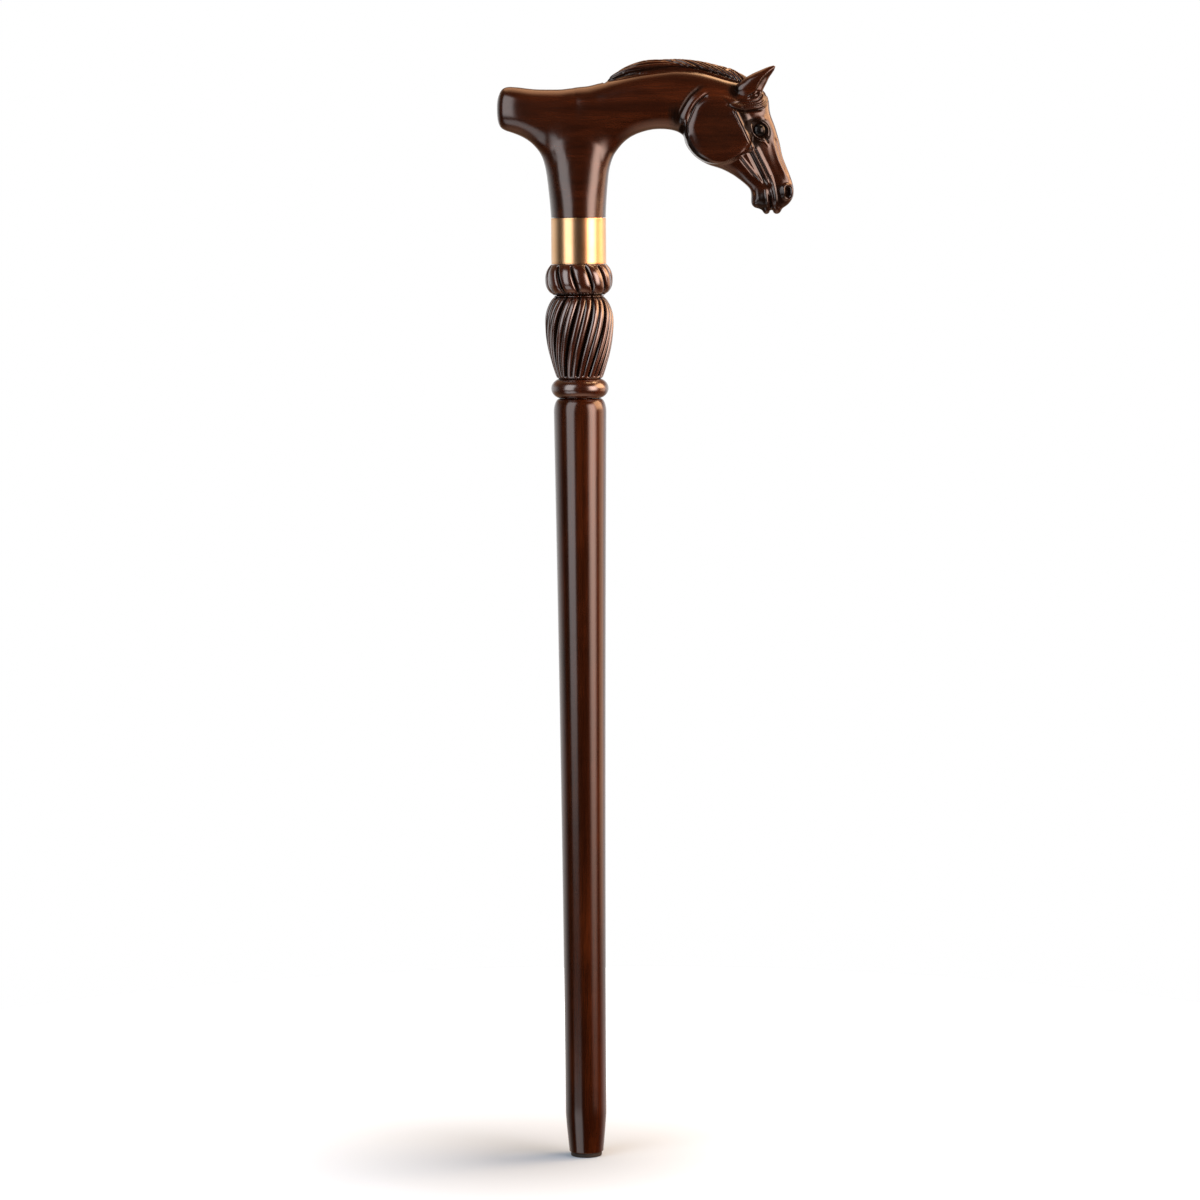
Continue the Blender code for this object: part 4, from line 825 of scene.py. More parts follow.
class Carving:
    """The handle's skin as arrays in millimetres, with what each stroke adds to it."""

    def __init__(self, mesh):
        self.mesh = mesh
        self.place = read_vectors(mesh.vertices, "co") / MM
        self.normal = read_vectors(mesh.vertex_normals, "vector")
        self.lift = np.zeros(len(self.place))
        self.stain_and_shade = np.zeros(len(self.place))
        bm = bmesh.new()
        bm.from_mesh(mesh)
        self.tree = BVHTree.FromBMesh(bm)
        bm.free()

    def on_side(self, path, side):
        """Points of the skin under a smooth path of (along, above), seen from one side."""
        points = []
        for along, above in catmull_rom(path, PATH_STEPS):
            start = Vector((along, side * FAR_OUT, above)) * MM
            hit = self.tree.ray_cast(start, Vector((0.0, -side, 0.0)))[0]
            if hit is None:
                hit = self.tree.find_nearest(Vector((along, side * 4.0, above)) * MM)[0]
            points.append(np.array(hit) / MM)
        return np.array(points)

    def near(self, path, reach, side):
        """Skin points within reach of a path: index, share of its length and signed distance.

        The distance is above 0 on the path's left, seen from the horse's right with the muzzle
        at the right hand.
        """
        line = self.on_side(path, side)
        low, high = line.min(axis=0) - reach, line.max(axis=0) + reach
        inside = np.all((self.place > low) & (self.place < high), axis=1)
        inside &= (self.place[:, 1] * side > -PAST_MIDDLE) & (self.normal[:, 1] * side > FACES_AWAY)
        index = np.flatnonzero(inside)
        best = np.full(len(index), 1e9)
        share = np.zeros(len(index))
        sign = np.ones(len(index))
        points = self.place[index]
        last = len(line) - 1
        for k in range(last):
            run = line[k + 1] - line[k]
            offset = points - line[k]
            t = np.clip(offset @ run / max(run @ run, 1e-9), 0.0, 1.0)
            distance = ((offset - t[:, None] * run) ** 2).sum(axis=1)
            closer = distance < best
            best[closer] = distance[closer]
            share[closer] = (k + t[closer]) / last
            cross = run[0] * offset[:, 2] - run[2] * offset[:, 0]
            sign[closer] = np.where(cross[closer] > 0.0, 1.0, -1.0)
        best = np.sqrt(best)
        keep = best < reach
        return index[keep], share[keep], best[keep] * sign[keep]

    def darken(self, index, amount):
        self.stain_and_shade[index] = np.maximum(self.stain_and_shade[index], amount)

    def cut(self, path, lift, stain_and_shade=(), ends=(0.0, 0.0), fade=0.25):
        """Sweeps a cross-section along a path on both sides of the handle.

        lift and the painted shade and stain are lists of (signed distance, value); ends are the sizes at its
        two ends.
        """
        lift = curve(lift)
        stain_and_shade = curve(stain_and_shade) if stain_and_shade else None
        reach = np.abs(lift[0]).max()
        if stain_and_shade is not None:
            reach = max(reach, np.abs(stain_and_shade[0]).max())
        for side in SIDES:
            index, share, distance = self.near(path, reach, side)
            size = grown(share, ends, fade)
            self.lift[index] += size * np.interp(distance, *lift)
            if stain_and_shade is not None:
                self.darken(index, np.interp(distance, *stain_and_shade) * size ** 0.5)

    def ridge(self, path, half_width, height, stain_and_shade=0.0, ends=(0.3, 0.3), fade=0.25, stain_and_shade_width=1.0):
        """A rounded ridge, or a groove where height is below 0, darkened along it by any given painted shade
        and stain.
        """
        bell = [(-1.0, 0.0), (-0.75, 0.15), (-0.4, 0.68), (0.0, 1.0), (0.4, 0.68), (0.75, 0.15), (1.0, 0.0)]
        lift = [(x * half_width, v * height) for x, v in bell]
        dark = [(x * half_width * stain_and_shade_width, v * stain_and_shade) for x, v in bell] if stain_and_shade else ()
        self.cut(path, lift, dark, ends, fade)

    def combed(self, paths, half_pitch, height, depth, stain_and_shade, ends=(0.25, 0.5), fade=0.3):
        """Locks of hair: a ridge on each path and a groove midway between two neighbours, dark with painted
        shade and stain.
        """
        reach = 1.8 * half_pitch
        for side in SIDES:
            first = np.full(len(self.place), 1e9)
            second = np.full(len(self.place), 1e9)
            size = np.zeros(len(self.place))
            for path in paths:
                index, share, distance = self.near(path, 2.0 * reach, side)
                distance = np.abs(distance)
                closer = distance < first[index]
                second[index] = np.minimum(second[index], np.where(closer, first[index], distance))
                first[index] = np.where(closer, distance, first[index])
                size[index] = np.where(closer, grown(share, ends, fade), size[index])
            index = np.flatnonzero(first < reach)
            first, size = first[index], size[index]
            second = np.minimum(second[index], np.maximum(2.0 * half_pitch - first, first))
            way = 2.0 * first / (first + second + 1e-9)
            size = size * smooth_step((reach - first) / (reach - half_pitch))
            size = size * smooth_step((first + second) / (1.1 * half_pitch) - 0.5)
            groove = smooth_step((way - 0.35) / 0.65)
            self.lift[index] += size * (height * (1.0 - way * way) - depth * groove)
            self.darken(index, stain_and_shade * groove * groove * size ** 0.5)

    def clear(self, path, half_width, stain_and_shade):
        """Takes the painted shade and stain down to a given depth along a line."""
        for side in SIDES:
            index, _, distance = self.near(path, 2.0 * half_width, side)
            limit = stain_and_shade + (1.0 - stain_and_shade) * smooth_step(np.abs(distance) / half_width - 0.6)
            self.stain_and_shade[index] = np.minimum(self.stain_and_shade[index], limit)

    def shade(self, middle, half_sizes, stain_and_shade):
        """A soft dark patch of painted shade and stain on both sides about a point (along, above)."""
        x, z = ((self.place[:, (0, 2)] - middle) / half_sizes).T
        self.stain_and_shade = np.maximum(self.stain_and_shade, stain_and_shade * smooth_step(1.3 * (1.0 - np.sqrt(x * x + z * z))))

    def around(self, middle, axis, side, lift, stain_and_shade):
        """A round form about an axis, from lists of (distance from the axis, value)."""
        offset = self.place - middle
        out = offset @ axis
        radial = np.sqrt(np.maximum((offset ** 2).sum(axis=1) - out ** 2, 0.0))
        lift, stain_and_shade = curve(lift), curve(stain_and_shade)
        near = (np.abs(out) < ROUND_FORM_DEPTH) & (radial < max(lift[0, -1], stain_and_shade[0, -1]))
        index = np.flatnonzero((self.place[:, 1] * side > 0.0) & near)
        self.lift[index] += np.interp(radial[index], *lift)
        # Painted shade and stain round the axis
        self.darken(index, np.interp(radial[index], *stain_and_shade))

    def softened(self, values, passes):
        """Values evened out between neighbouring points of the skin."""
        ends = np.empty(len(self.mesh.edges) * 2, np.int32)
        self.mesh.edges.foreach_get("vertices", ends)
        first, second = ends.reshape(-1, 2).T
        count = len(values)
        neighbours = np.maximum(np.bincount(ends, minlength=count), 1)
        for _ in range(passes):
            total = np.bincount(first, values[second], count) + np.bincount(second, values[first], count)
            values = 0.5 * values + 0.5 * total / neighbours
        return values

    def finished(self):
        """The carved mesh."""
        lift = self.softened(self.lift, LIFT_PASSES)
        moved = (self.place + self.normal * lift[:, None]) * MM
        self.mesh.vertices.foreach_set("co", moved.ravel())
        self.mesh.update()
        # The painted shade and stain, evened out, kept as a value on each point for the wood's colour
        add_number(self.mesh, "stain_and_shade", np.clip(self.softened(self.stain_and_shade, STAIN_AND_SHADE_PASSES), 0.0, 1.0))
        return self.mesh


UPPER_LID = [
    (133.6, 71.2), (136.4, 72.8), (139.6, 73), (142.8, 71.6), (145, 70.2), (146.6, 68), (147.3, 65.2),
    (147.2, 62),
]
LOWER_LID = [
    (133.9, 70.2), (134, 67.9), (134.6, 65.1), (136.2, 62.6), (138.5, 60.3), (141.3, 59), (143.5, 58.9),
    (145.5, 57.2),
]
EYE_RADIUS = 4.7
EYE_DOME = 2.4
EYE_DEPTH = 4.0
EYE_CHAMFER = 0.3
EYE_STEPS = 48


def eye_frame(node):
    """Middle and outward direction of an eye, from the CAD node's own points, in millimetres."""
    points = np.array([v.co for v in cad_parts[node].data.vertices]) / MM
    points = np.unique(np.round(points, 4), axis=0)
    middle = points.mean(axis=0)
    side = math.copysign(1.0, middle[1])
    spread = np.linalg.svd(points - middle, full_matrices=False)[2]
    axis = spread[np.argmax(np.abs(spread[:, 1]))]
    axis = axis * math.copysign(1.0, axis[1] * side)
    reach = (points - middle) @ axis
    return middle + axis * (reach.max() - EYE_DOME), axis, side


def carve_eyes(c):
    """Sockets round the glass eyes, the lids, the tear duct and the brow, with painted shade and stain round
    each eye.
    """
    for node in ("right_eye", "left_eye"):
        middle, axis, side = eye_frame(node)
        middle = middle - np.array([0, 0, HANDLE_LOW])
        c.around(middle, axis, side,
                 [(0, -1.6), (4.5, -1.6), (5, -1.2), (5.6, -0.5), (6.6, -0.25), (8.5, -0.2), (12, 0)],
                 [(0, 1), (6.6, 1), (7.8, 0.85), (9, 0.30), (10.8, 0)])
    c.ridge(UPPER_LID, 0.9, 0.45, ends=(0.3, 0.2), fade=0.3)
    c.ridge(LOWER_LID, 0.8, 0.55, ends=(0.4, 0.4))
    c.ridge([(135.4, 60.6), (138.3, 58.2), (141.3, 57.2), (143.6, 56.9), (145.7, 55.3), (147, 53.2)], 1.1,
            0.45, ends=(0.2, 0.3), fade=0.35)
    c.ridge([(144, 60.6), (145.6, 58.2), (147, 55.6)], 0.9, -0.8, 1, ends=(0.8, 0.2))
    c.ridge([(129.6, 74), (133.8, 73.8), (137.6, 74.4), (141.4, 73.8)], 2.2, -0.3, 1, ends=(0.5, 0.1),
            fade=0.45)
    c.ridge([(129.4, 80), (133.4, 78.2), (137.6, 77.6), (142.8, 76.6), (147, 73)], 4.2, 0.25,
            ends=(0.2, 0.2), fade=0.45)
    # Painted shade round the eye, under the brow and in front of the eye
    c.shade((132.8, 69.2), (7.6, 7.4), 1.7)
    c.shade((134.6, 73.4), (7, 4), 0.90)
    c.shade((146.8, 64), (4.6, 10), 1.2)
    # Thin lighter lines along the lids, rubbed out of the painted shade
    c.clear(LOWER_LID, 0.55, 0.66)
    c.clear(UPPER_LID[3:], 0.5, 0.70)
    c.clear([(141.3, 57.2), (143.6, 56.9), (145.7, 55.3), (147, 53.2)], 0.7, 0.64)


def carve_ears(c):
    """The hollow in the front of each ear, the fold beside it and the gap at its root, with painted shade and
    stain in the hollow and at the root.
    """
    fold = [(152.1, 114.4), (149.1, 112.3), (146, 109.6), (143.6, 107.5), (141.7, 105.4), (139.8, 102.7),
            (138.2, 100), (136.5, 97.4), (134.3, 94.3)]
    c.cut(fold,
          [(-4.6, 0), (-2.8, 0.10), (-1, 0.20), (-0.3, 0.45), (0.35, 0.2), (1, -0.7), (2.2, -1.2),
           (4, -1.1), (6, -0.5), (8, 0)], [(0.3, 0), (1.1, 0.85), (2, 0.55), (4, 0.15), (6, 0)],
          ends=(0.2, 0.2), fade=0.35)
    c.ridge([(140, 95.4), (139, 93.6), (137.8, 92)], 1.7, -0.9, 1, ends=(0.4, 0.2), fade=0.4)
    c.ridge([(120.6, 92.4), (122.6, 90.2), (127, 89.4), (131.6, 90.4)], 2.4, -0.6, 0.45, ends=(0.3, 0.2),
            fade=0.45)
    # Painted shade at the ear's root
    c.shade((121, 96.5), (7.5, 9), 1)


def carve_hair(c):
    """The forelock, swept back under the ear to a point, and the mane over the neck, with painted shade and
    stain in their grooves.
    """
    c.ridge([(117, 84.8), (124, 84), (132, 84), (138.6, 85), (142.4, 88.4), (143.2, 92.6)], 3.6, 1.2,
            ends=(0.3, 0.5), fade=0.3)
    c.combed(FORELOCK, 1.15, 0.45, 0.5, 0.85, (0.4, 0.2), 0.3)
    c.ridge(FORELOCK_LOW, 1.7, -1.3, 1, ends=(0.4, 0.2), fade=0.3)
    c.ridge([(115.8, 85.8), (120.8, 86.6), (126.5, 88)], 0.9, -0.4, 0.6, ends=(0.4, 0.2))
    c.combed(MANE_STRANDS, 1.35, 0.5, 0.6, 0.95)
    # The groove along the mane's edge, darkened by painted shade and stain
    c.cut(MANE_EDGE,
          [(-10, 0), (-7, -0.08), (-4.6, -0.25), (-2.6, -0.55), (-1, -0.95), (-0.2, -1.3), (0.5, -1.7),
           (1.2, -1.5), (2.2, -0.6), (3.6, 0)], [(-0.2, 0), (0.4, 0.6), (1, 1), (2, 0.45), (3.4, 0)],
          ends=(0.2, 0.4), fade=0.12)


def carve_cheek(c):
    """The edge of the round cheek, the fold of the neck behind it and the neck's wrinkles, with painted shade
    in their grooves and hollows.
    """
    c.cut(CHEEK_GROOVE,
          [(-9.5, 0), (-7, -0.75), (-5.4, -0.45), (-3.8, 0.3), (-2.5, 0.45), (-1.3, 0.1), (-0.6, -0.8),
           (0, -1.4), (0.6, -1.3), (1.6, -0.6), (3, -0.15), (5, 0)],
          [(-12, 0), (-9.5, 0.45), (-7.4, 0.85), (-5.8, 0.5), (-4.6, 0), (-1.2, 0), (-0.5, 0.8), (0, 1),
           (0.4, 0.8), (1, 0)], ends=(0, 0.6), fade=0.28)
    # Painted shade in a band along the cheek's lower outer rim
    c.cut(CHEEK_OUTER, [(-3.6, 0), (-1.4, -0.15), (0, -0.35), (1.4, -0.15), (3, 0)],
          [(-7, 0), (-5, 0.70), (-2.6, 0.85), (0, 0.85), (1.2, 0.3), (2.4, 0)], ends=(0.8, 0.2), fade=0.2)
    c.cut(CHEEK_RIM, [(-0.8, 0), (0.4, -0.2), (1.5, -0.50), (3, -0.62), (4.6, -0.36), (6.6, 0)], fade=0.3)
    c.cut(CHEEK_LOW_EDGE, [(-4, 0), (-2.4, -0.8), (-1, -0.5), (0, 0.5), (1.2, 0.4), (3, 0)],
          [(-4.5, 0), (-2.4, 0.6), (-1, 0.3), (0, 0)], ends=(0.4, 0.1), fade=0.35)
    for path in NECK_WRINKLES:
        c.cut(path, [(-1.2, 0), (-0.7, 0), (0, 0.09), (0.7, -0.10), (1.3, 0)],
              [(-1.3, 0), (-0.8, 0.85), (-0.2, 0.4), (0.2, 0.4), (0.8, 0.95), (1.5, 0)], fade=0.45)
    # Painted shade in the hollow behind the cheek and over the wrinkles; the whole cheek a little darker
    c.shade((76.5, 76), (8.5, 15), 0.85)
    c.shade((81, 67), (7, 8), 0.95)
    c.shade(CHEEK_PLACE, (34, 34), 0.30)
    c.ridge([(111, 91.6), (115.4, 87.4), (118.8, 82.6)], 1.6, -0.35, 0.55, ends=(0.2, 0.4), fade=0.4)


def carve_face(c):
    """The facial crest, the tendons down the side of the nose and the hollows between them, with painted
    shade in the hollows.
    """
    # Painted shade darkens the face between the crest and the eye
    c.cut(FACE_CREST,
          [(-11, 0), (-7, 0.25), (-4, 0.6), (-2.3, 0.9), (-1.75, 0.85), (-1, 1.35), (-0.3, 0.9), (0.2, 0.9),
           (0.9, 1.35), (1.7, 0.65), (2.6, 0.15), (3.8, 0), (5, 0)],
          [(-0.9, 0), (-0.3, 0.8), (0.2, 0.8), (0.9, 0), (1.6, 0.3), (2.6, 0.88), (4.5, 0.84), (7, 0.76),
           (9.5, 0.4), (12, 0)], ends=(0.15, 0.3), fade=0.16)
    c.cut(FACE_TENDONS,
          [(-7, 0), (-5, -1.1), (-3.6, -1.2), (-2.3, 0.3), (-1.4, 1.1), (-0.5, 0), (0.1, -0.3), (0.6, 0.1),
           (1.5, 1.1), (2.6, 0.6), (4.2, 0)],
          [(-7, 0), (-5, 0.75), (-3.8, 0.9), (-2.4, 0.2), (-1.2, 0), (-0.4, 0.8), (0.2, 0.9), (0.8, 0.1),
           (1.5, 0)], ends=(0.25, 0.3), fade=0.2)
    c.ridge([(149, 30.2), (150.8, 24.7), (152.1, 17.8), (152.8, 11.4), (152.3, 6)], 1.4, 0.7,
            ends=(0.8, 0.3))
    c.ridge([(126.1, 45.7), (130.6, 40), (135.5, 34), (139.4, 29.2), (142.1, 25.3)], 1.1, 0.8,
            ends=(0.4, 0.2))
    c.ridge([(124, 45.4), (128.6, 39.4), (133.6, 33.4), (137.6, 28.6)], 1.2, -0.5, 0.5, ends=(0.3, 0.2))
    c.cut(FACE_EDGE,
          [(-6, 0), (-3, -0.15), (-1, 0.1), (0, 0.25), (1, -0.05), (2.2, -0.75), (3.2, -0.8), (4.4, -0.3),
           (5.6, 0)], ends=(0.1, 0.3))


def carve_muzzle(c):
    """Nostrils, mouth, lips and chin, with painted shade in the nostrils and the mouth."""
    hollow = curve([(0, -3.6), (1.2, -3.4), (2, -2.2), (2.6, -0.3), (3.2, 0.55), (4.2, 0.3), (6, 0)])
    for side in SIDES:
        index, _, distance = c.near([(162.2, 20.9), (162.4, 18.2), (162.2, 15.6)], 6, side)
        distance = np.abs(distance)
        c.lift[index] += np.interp(distance, *hollow)
        # Painted shade inside the nostril
        c.darken(index, np.interp(distance, [0, 2.4, 2.8, 3.3], [1, 1, 0.3, 0]))
    c.ridge([(157.4, 26), (156.6, 21), (156.8, 15)], 3, 0.5, ends=(0.3, 0.3), fade=0.5)
    c.ridge([(138.6, 21.4), (138.2, 16), (138.6, 11)], 3.2, 0.4, ends=(0.3, 0.3), fade=0.5)
    mouth = [(147.3, 21), (147.9, 15.6), (148.5, 10.7), (149.1, 6.1), (149.5, 3.6)]
    c.ridge(mouth, 2.1, -2.2, 1, ends=(0.15, 0.25), fade=0.35, stain_and_shade_width=1.25)
    c.ridge([(144.4, 21.6), (145.2, 15), (146.4, 8)], 1, 0.45, ends=(0.2, 0.3))
    # The muzzle and the lips darker
    c.shade((156, 15), (13, 18), 0.80)
    c.shade((142, 9), (11, 17), 0.84)


def carve_handle(mesh):
    carving = Carving(mesh)
    for carve in (carve_ears, carve_hair, carve_cheek, carve_face, carve_eyes, carve_muzzle):
        carve(carving)
    return carving.finished()


FORELOCK = [
    [(138, 94.6), (135.9, 93.5), (133.5, 92), (131.6, 90.9), (129.1, 90.2)],
    [(141.2, 94.2), (140.2, 91.6), (138.1, 90), (135.8, 89.3), (133.5, 88.9), (130, 88.5)],
    [(143, 94.8), (143.2, 92.3), (142.2, 90.2), (140.2, 88.3), (137.7, 87.3), (135, 86.9), (131.2, 86.7),
     (124.7, 86.4), (118.1, 85.5)],
    [(144.9, 94.4), (145.2, 91.5), (144.3, 89), (142.3, 86.9), (140, 85.7), (137.3, 85), (132.7, 84.7),
     (126.6, 84.5), (120.2, 84.7)],
    [(146.6, 93), (146.8, 89.6), (145.8, 86.9), (143.9, 85), (141.6, 83.8), (138.9, 83.1), (134.4, 82.8),
     (129, 82.8)],
]
FORELOCK_LOW = [
    (115.4, 84.9), (118.9, 83.3), (122.7, 81.8), (127.3, 80.6), (131.2, 80.5), (134.2, 80.7), (136.5, 80.9),
    (139.6, 81.2), (143.1, 82),
]
MANE_STRANDS = [
    [(22.1, 105.8), (29.8, 108.6), (37.5, 110.4), (46.8, 111.9)],
    [(36, 110.6), (46.8, 112.9), (56, 114.2), (66.8, 115), (77.5, 114.8)],
    [(31.4, 111.6), (40.6, 114.4), (49.9, 116), (60.6, 117), (71.4, 117), (79.1, 116)],
    [(42.2, 116.6), (49.9, 118), (57.6, 119), (65.3, 119.2), (72, 118.4)],
    [(54.5, 120.5), (63.7, 120.3), (71.4, 118.5), (79.1, 115.9)],
    [(66.8, 121), (73, 120.2), (79.1, 118.2), (84.5, 115.6)],
    [(74.5, 121.4), (80.7, 119.8), (86.8, 117), (92.9, 113.9)],
    [(81.4, 120.9), (86.8, 119.7), (92.9, 117.4), (99.1, 114.2), (102.9, 111.9)],
    [(86.8, 120.5), (92.2, 119.1), (99.1, 116.1), (104.5, 113.2), (108.3, 110.4)],
    [(93, 119.7), (99.1, 117.8), (105.2, 114.9), (110.6, 111.6), (114.4, 108.5)],
    [(99.1, 118.5), (105.2, 116.3), (111.4, 113), (116.7, 109.1), (119.8, 105.8)],
    [(105.2, 117), (110.6, 114.9), (116, 111.8), (120.6, 108.1), (122.9, 105)],
    [(110.6, 115.7), (116, 113.7), (120.8, 110.6), (124.6, 107), (126, 104.6)],
    [(116, 114.3), (121.2, 112), (125.6, 108.9), (128.5, 105.7)],
]
MANE_EDGE = [
    (17.5, 103.4), (22.9, 105.4), (29, 107.1), (40.6, 110.2), (52.1, 112.5), (63.7, 113.9), (75.2, 114.5),
    (86.8, 114), (98.3, 112), (109.8, 109), (117.5, 106.4), (124.4, 104.3),
]
CHEEK_GROOVE = [
    (103, 95.6), (99.7, 93.6), (97.3, 91.8), (92.4, 87.5), (88.8, 82.3), (86.1, 77), (84.3, 72.7),
    (83.5, 68.6), (84, 64.4),
]
CHEEK_OUTER = [(83.6, 68), (84.2, 64.2), (86.9, 56.8), (92.1, 48.9), (99.2, 43.1), (105.8, 40.4)]
CHEEK_RIM = [
    (91.4, 86), (88.2, 82), (85.7, 77), (84.1, 72.7), (83.6, 68.6), (84.2, 64.2), (86.9, 56.8),
    (92.1, 48.9), (98.4, 43.6),
]
CHEEK_LOW_EDGE = [(109.4, 40.6), (113.3, 42), (118.2, 44.5), (123.2, 47.1), (128, 49.6), (132, 51.4)]
NECK_WRINKLES = [
    [(73, 87.5), (71.8, 83.3), (71.4, 78.9), (71.9, 74.8), (73.6, 69.5)],
    [(75.7, 88), (73.9, 82.9), (73.6, 78), (74.3, 74.1), (76.4, 68.2)],
    [(78.3, 88.6), (76.2, 82.7), (75.7, 77.9), (76.3, 73.7), (79, 67.2)],
    [(80.6, 87), (78.3, 81.2), (77.7, 76.6), (78.2, 72.5), (80.9, 66.5)],
]
FACE_CREST = [
    (120.4, 82), (121.6, 79), (123.7, 74.4), (126.4, 68.6), (128.6, 63.8), (131.6, 56.8), (133.7, 52.4),
    (134.8, 50),
]
FACE_TENDONS = [(135.4, 52.4), (137.1, 49.6), (140, 43.8), (142.9, 38.2), (146.3, 31.1), (148.4, 25.6)]
FACE_EDGE = [(149.9, 60), (151.3, 55.2), (152.9, 49.1), (155.3, 41.8), (158.7, 34.4), (162.2, 28.2)]


def add_spigot(bm):
    """Cuts the post flat over the collar and draws its edge in to the spigot with the stud's bore."""
    everything = bm.verts[:] + bm.edges[:] + bm.faces[:]
    bmesh.ops.bisect_plane(bm, geom=everything, plane_co=(0.0, 0.0, 0.0), plane_no=(0.0, 0.0, 1.0),
                           clear_inner=True)
    bottom = HANDLE_BOTTOM - HANDLE_LOW
    bore_top = STUD_HIGH + BLIND_SPACE - HANDLE_LOW
    edges = [edge for edge in bm.edges if edge.is_boundary]
    for edge in edges:
        edge.smooth = False
    for radius, height in ((SPIGOT_RADIUS, 0.0), (SPIGOT_RADIUS, bottom), (BORE_RADIUS, bottom),
                           (BORE_RADIUS, bore_top)):
        made = bmesh.ops.extrude_edge_only(bm, edges=edges)["geom"]
        edges = [item for item in made if isinstance(item, bmesh.types.BMEdge) and item.is_boundary]
        for edge in edges:
            edge.smooth = False
        for vert in {vert for edge in edges for vert in edge.verts}:
            flat = Vector((vert.co.x, vert.co.y, 0.0)).normalized() * radius * MM
            vert.co = (flat.x, flat.y, height * MM)
    bmesh.ops.holes_fill(bm, edges=edges)
    bmesh.ops.recalc_face_normals(bm, faces=bm.faces)


def keep_inside(mesh, low, high):
    """Moves the few points that stand outside a box onto it."""
    mesh.vertices.foreach_set("co", np.clip(read_vectors(mesh.vertices, "co"), low, high).ravel())
    mesh.update()


def handle_mesh():
    carved = carve_handle(handle_skin())
    triangles = len(carved.polygons) * 2
    thinned = modified(carved, ("DECIMATE", {"ratio": min(HANDLE_TRIANGLES / triangles, 1.0)}))
    tree = KDTree(len(carved.vertices))
    for vert in carved.vertices:
        tree.insert(vert.co, vert.index)
    tree.balance()
    # The painted shade and stain of each point, carried to the thinned mesh from the nearest carved point
    stain_and_shade = np.empty(len(carved.vertices), np.float32)
    carved.attributes["stain_and_shade"].data.foreach_get("value", stain_and_shade)
    bm = bmesh.new()
    bm.from_mesh(thinned)
    for face in bm.faces:
        face.smooth = True
    add_spigot(bm)
    result = finished_mesh(bm, "handle")
    if "stain_and_shade" in result.attributes:
        result.attributes.remove(result.attributes["stain_and_shade"])
    values = [stain_and_shade[tree.find(vert.co)[1]] if vert.co.z > 0.0 else 0.0 for vert in result.vertices]
    add_number(result, "stain_and_shade", values)
    result.transform(Matrix.Translation((0.0, 0.0, HANDLE_LOW * MM)))
    keep_inside(result, *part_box("handle"))
    return result


def eye_mesh(node):
    middle, axis = eye_frame(node)[:2]
    ball = (EYE_RADIUS ** 2 + EYE_DOME ** 2) / (2.0 * EYE_DOME)
    profile = [(ball * math.sin(a), ball * math.cos(a) - ball + EYE_DOME)
               for a in np.linspace(0.03, math.asin(EYE_RADIUS / ball), 16)]
    profile += [(EYE_RADIUS, -EYE_DEPTH + EYE_CHAMFER), (EYE_RADIUS - EYE_CHAMFER, -EYE_DEPTH)]
    return turned_to(turned(node, profile, EYE_STEPS), axis, middle)


# Light, world, floor and camera

def light(name, azimuth, elevation, distance, width, height, radiance, colour, fades, aim=(0.0, 0.0, 0.45)):
    """Softbox that dims towards its edges; azimuth 0 is the camera's side, 90 the muzzle's.

    fades are the shares of its width and height over which the sides, foot and head dim.
    """
    data = bpy.data.lights.new(name, "AREA")
    data.shape = "RECTANGLE"
    data.size = width
    data.size_y = height
    data.energy = radiance * math.pi * width * height
    data.color = colour
    data.use_nodes = True
    nodes = Nodes(data.node_tree)
    x, y = nodes.add("SeparateXYZ", [nodes.add("NewGeometry").outputs["Parametric"]]).outputs[:2]
    side, foot, head = fades
    level = 1.0
    for place, low, high in ((x, 0.0, side), (x, 1.0, 1.0 - side), (y, 0.0, foot), (y, 1.0, 1.0 - head)):
        level = nodes.number("MULTIPLY", level, nodes.fade(place, low, high))
    nodes.feed(nodes.tree.nodes["Emission"], {"Strength": level})
    lamp = in_scene(name, data)
    around, up = math.radians(azimuth), math.radians(elevation)
    direction = Vector((math.sin(around) * math.cos(up), -math.cos(around) * math.cos(up), math.sin(up)))
    lamp.location = Vector(aim) + direction * distance
    lamp.rotation_mode = "QUATERNION"
    lamp.rotation_quaternion = direction.to_track_quat("Z", "Y")
    lamp.visible_camera = False


COOL = (1.0, 0.96, 0.97)
SHAFT_AIM = (0.0, 0.0, 0.40)
GRIP_AIM = (0.0, 0.0, 0.75)
TOP_AIM = (0.0, 0.0, 0.80)
HEAD_AIM = (0.10, 0.0, 0.80)


def build_lights():
    light("left_softbox", -44, 20, 2.3, 1.9, 3.4, 2.7, COOL, (0.20, 0.22, 0.15))
    light("low_left_softbox", -45, -42, 2.3, 1.9, 1.3, 1.5, COOL, (0.20, 0.35, 0.2), GRIP_AIM)
    light("right_softbox", 56, 9, 2.2, 2.1, 2.8, 8.0, (1.0, 0.69, 0.57), (0.40, 0.46, 0.25))
    light("low_muzzle_softbox", 108, 0, 2.2, 1.6, 1.5, 1.6, (1.0, 0.48, 0.23), (0.22, 0.25, 0.25), SHAFT_AIM)
    light("face_softbox", 98, 20, 2.0, 2.0, 1.8, 7.5, (1.0, 0.56, 0.30), (0.22, 0.30, 0.25), HEAD_AIM)
    light("forehead_softbox", 112, 64, 2.2, 1.6, 1.6, 12.0, (1.0, 0.58, 0.30), (0.45, 0.35, 0.35), HEAD_AIM)
    light("top_softbox", 180, 72, 2.2, 3.0, 2.8, 2.0, (1.0, 0.52, 0.27), (0.25, 0.15, 0.50), TOP_AIM)


WHITE = (1.0, 1.0, 1.0, 1.0)
FILL = (0.30, 0.30, 0.30, 1.0)
DIM_ABOVE_AND_BELOW = (0.30, 0.17, 0.10, 1.0)
GLOW_FROM_BELOW = (1.1, 0.62, 0.43)


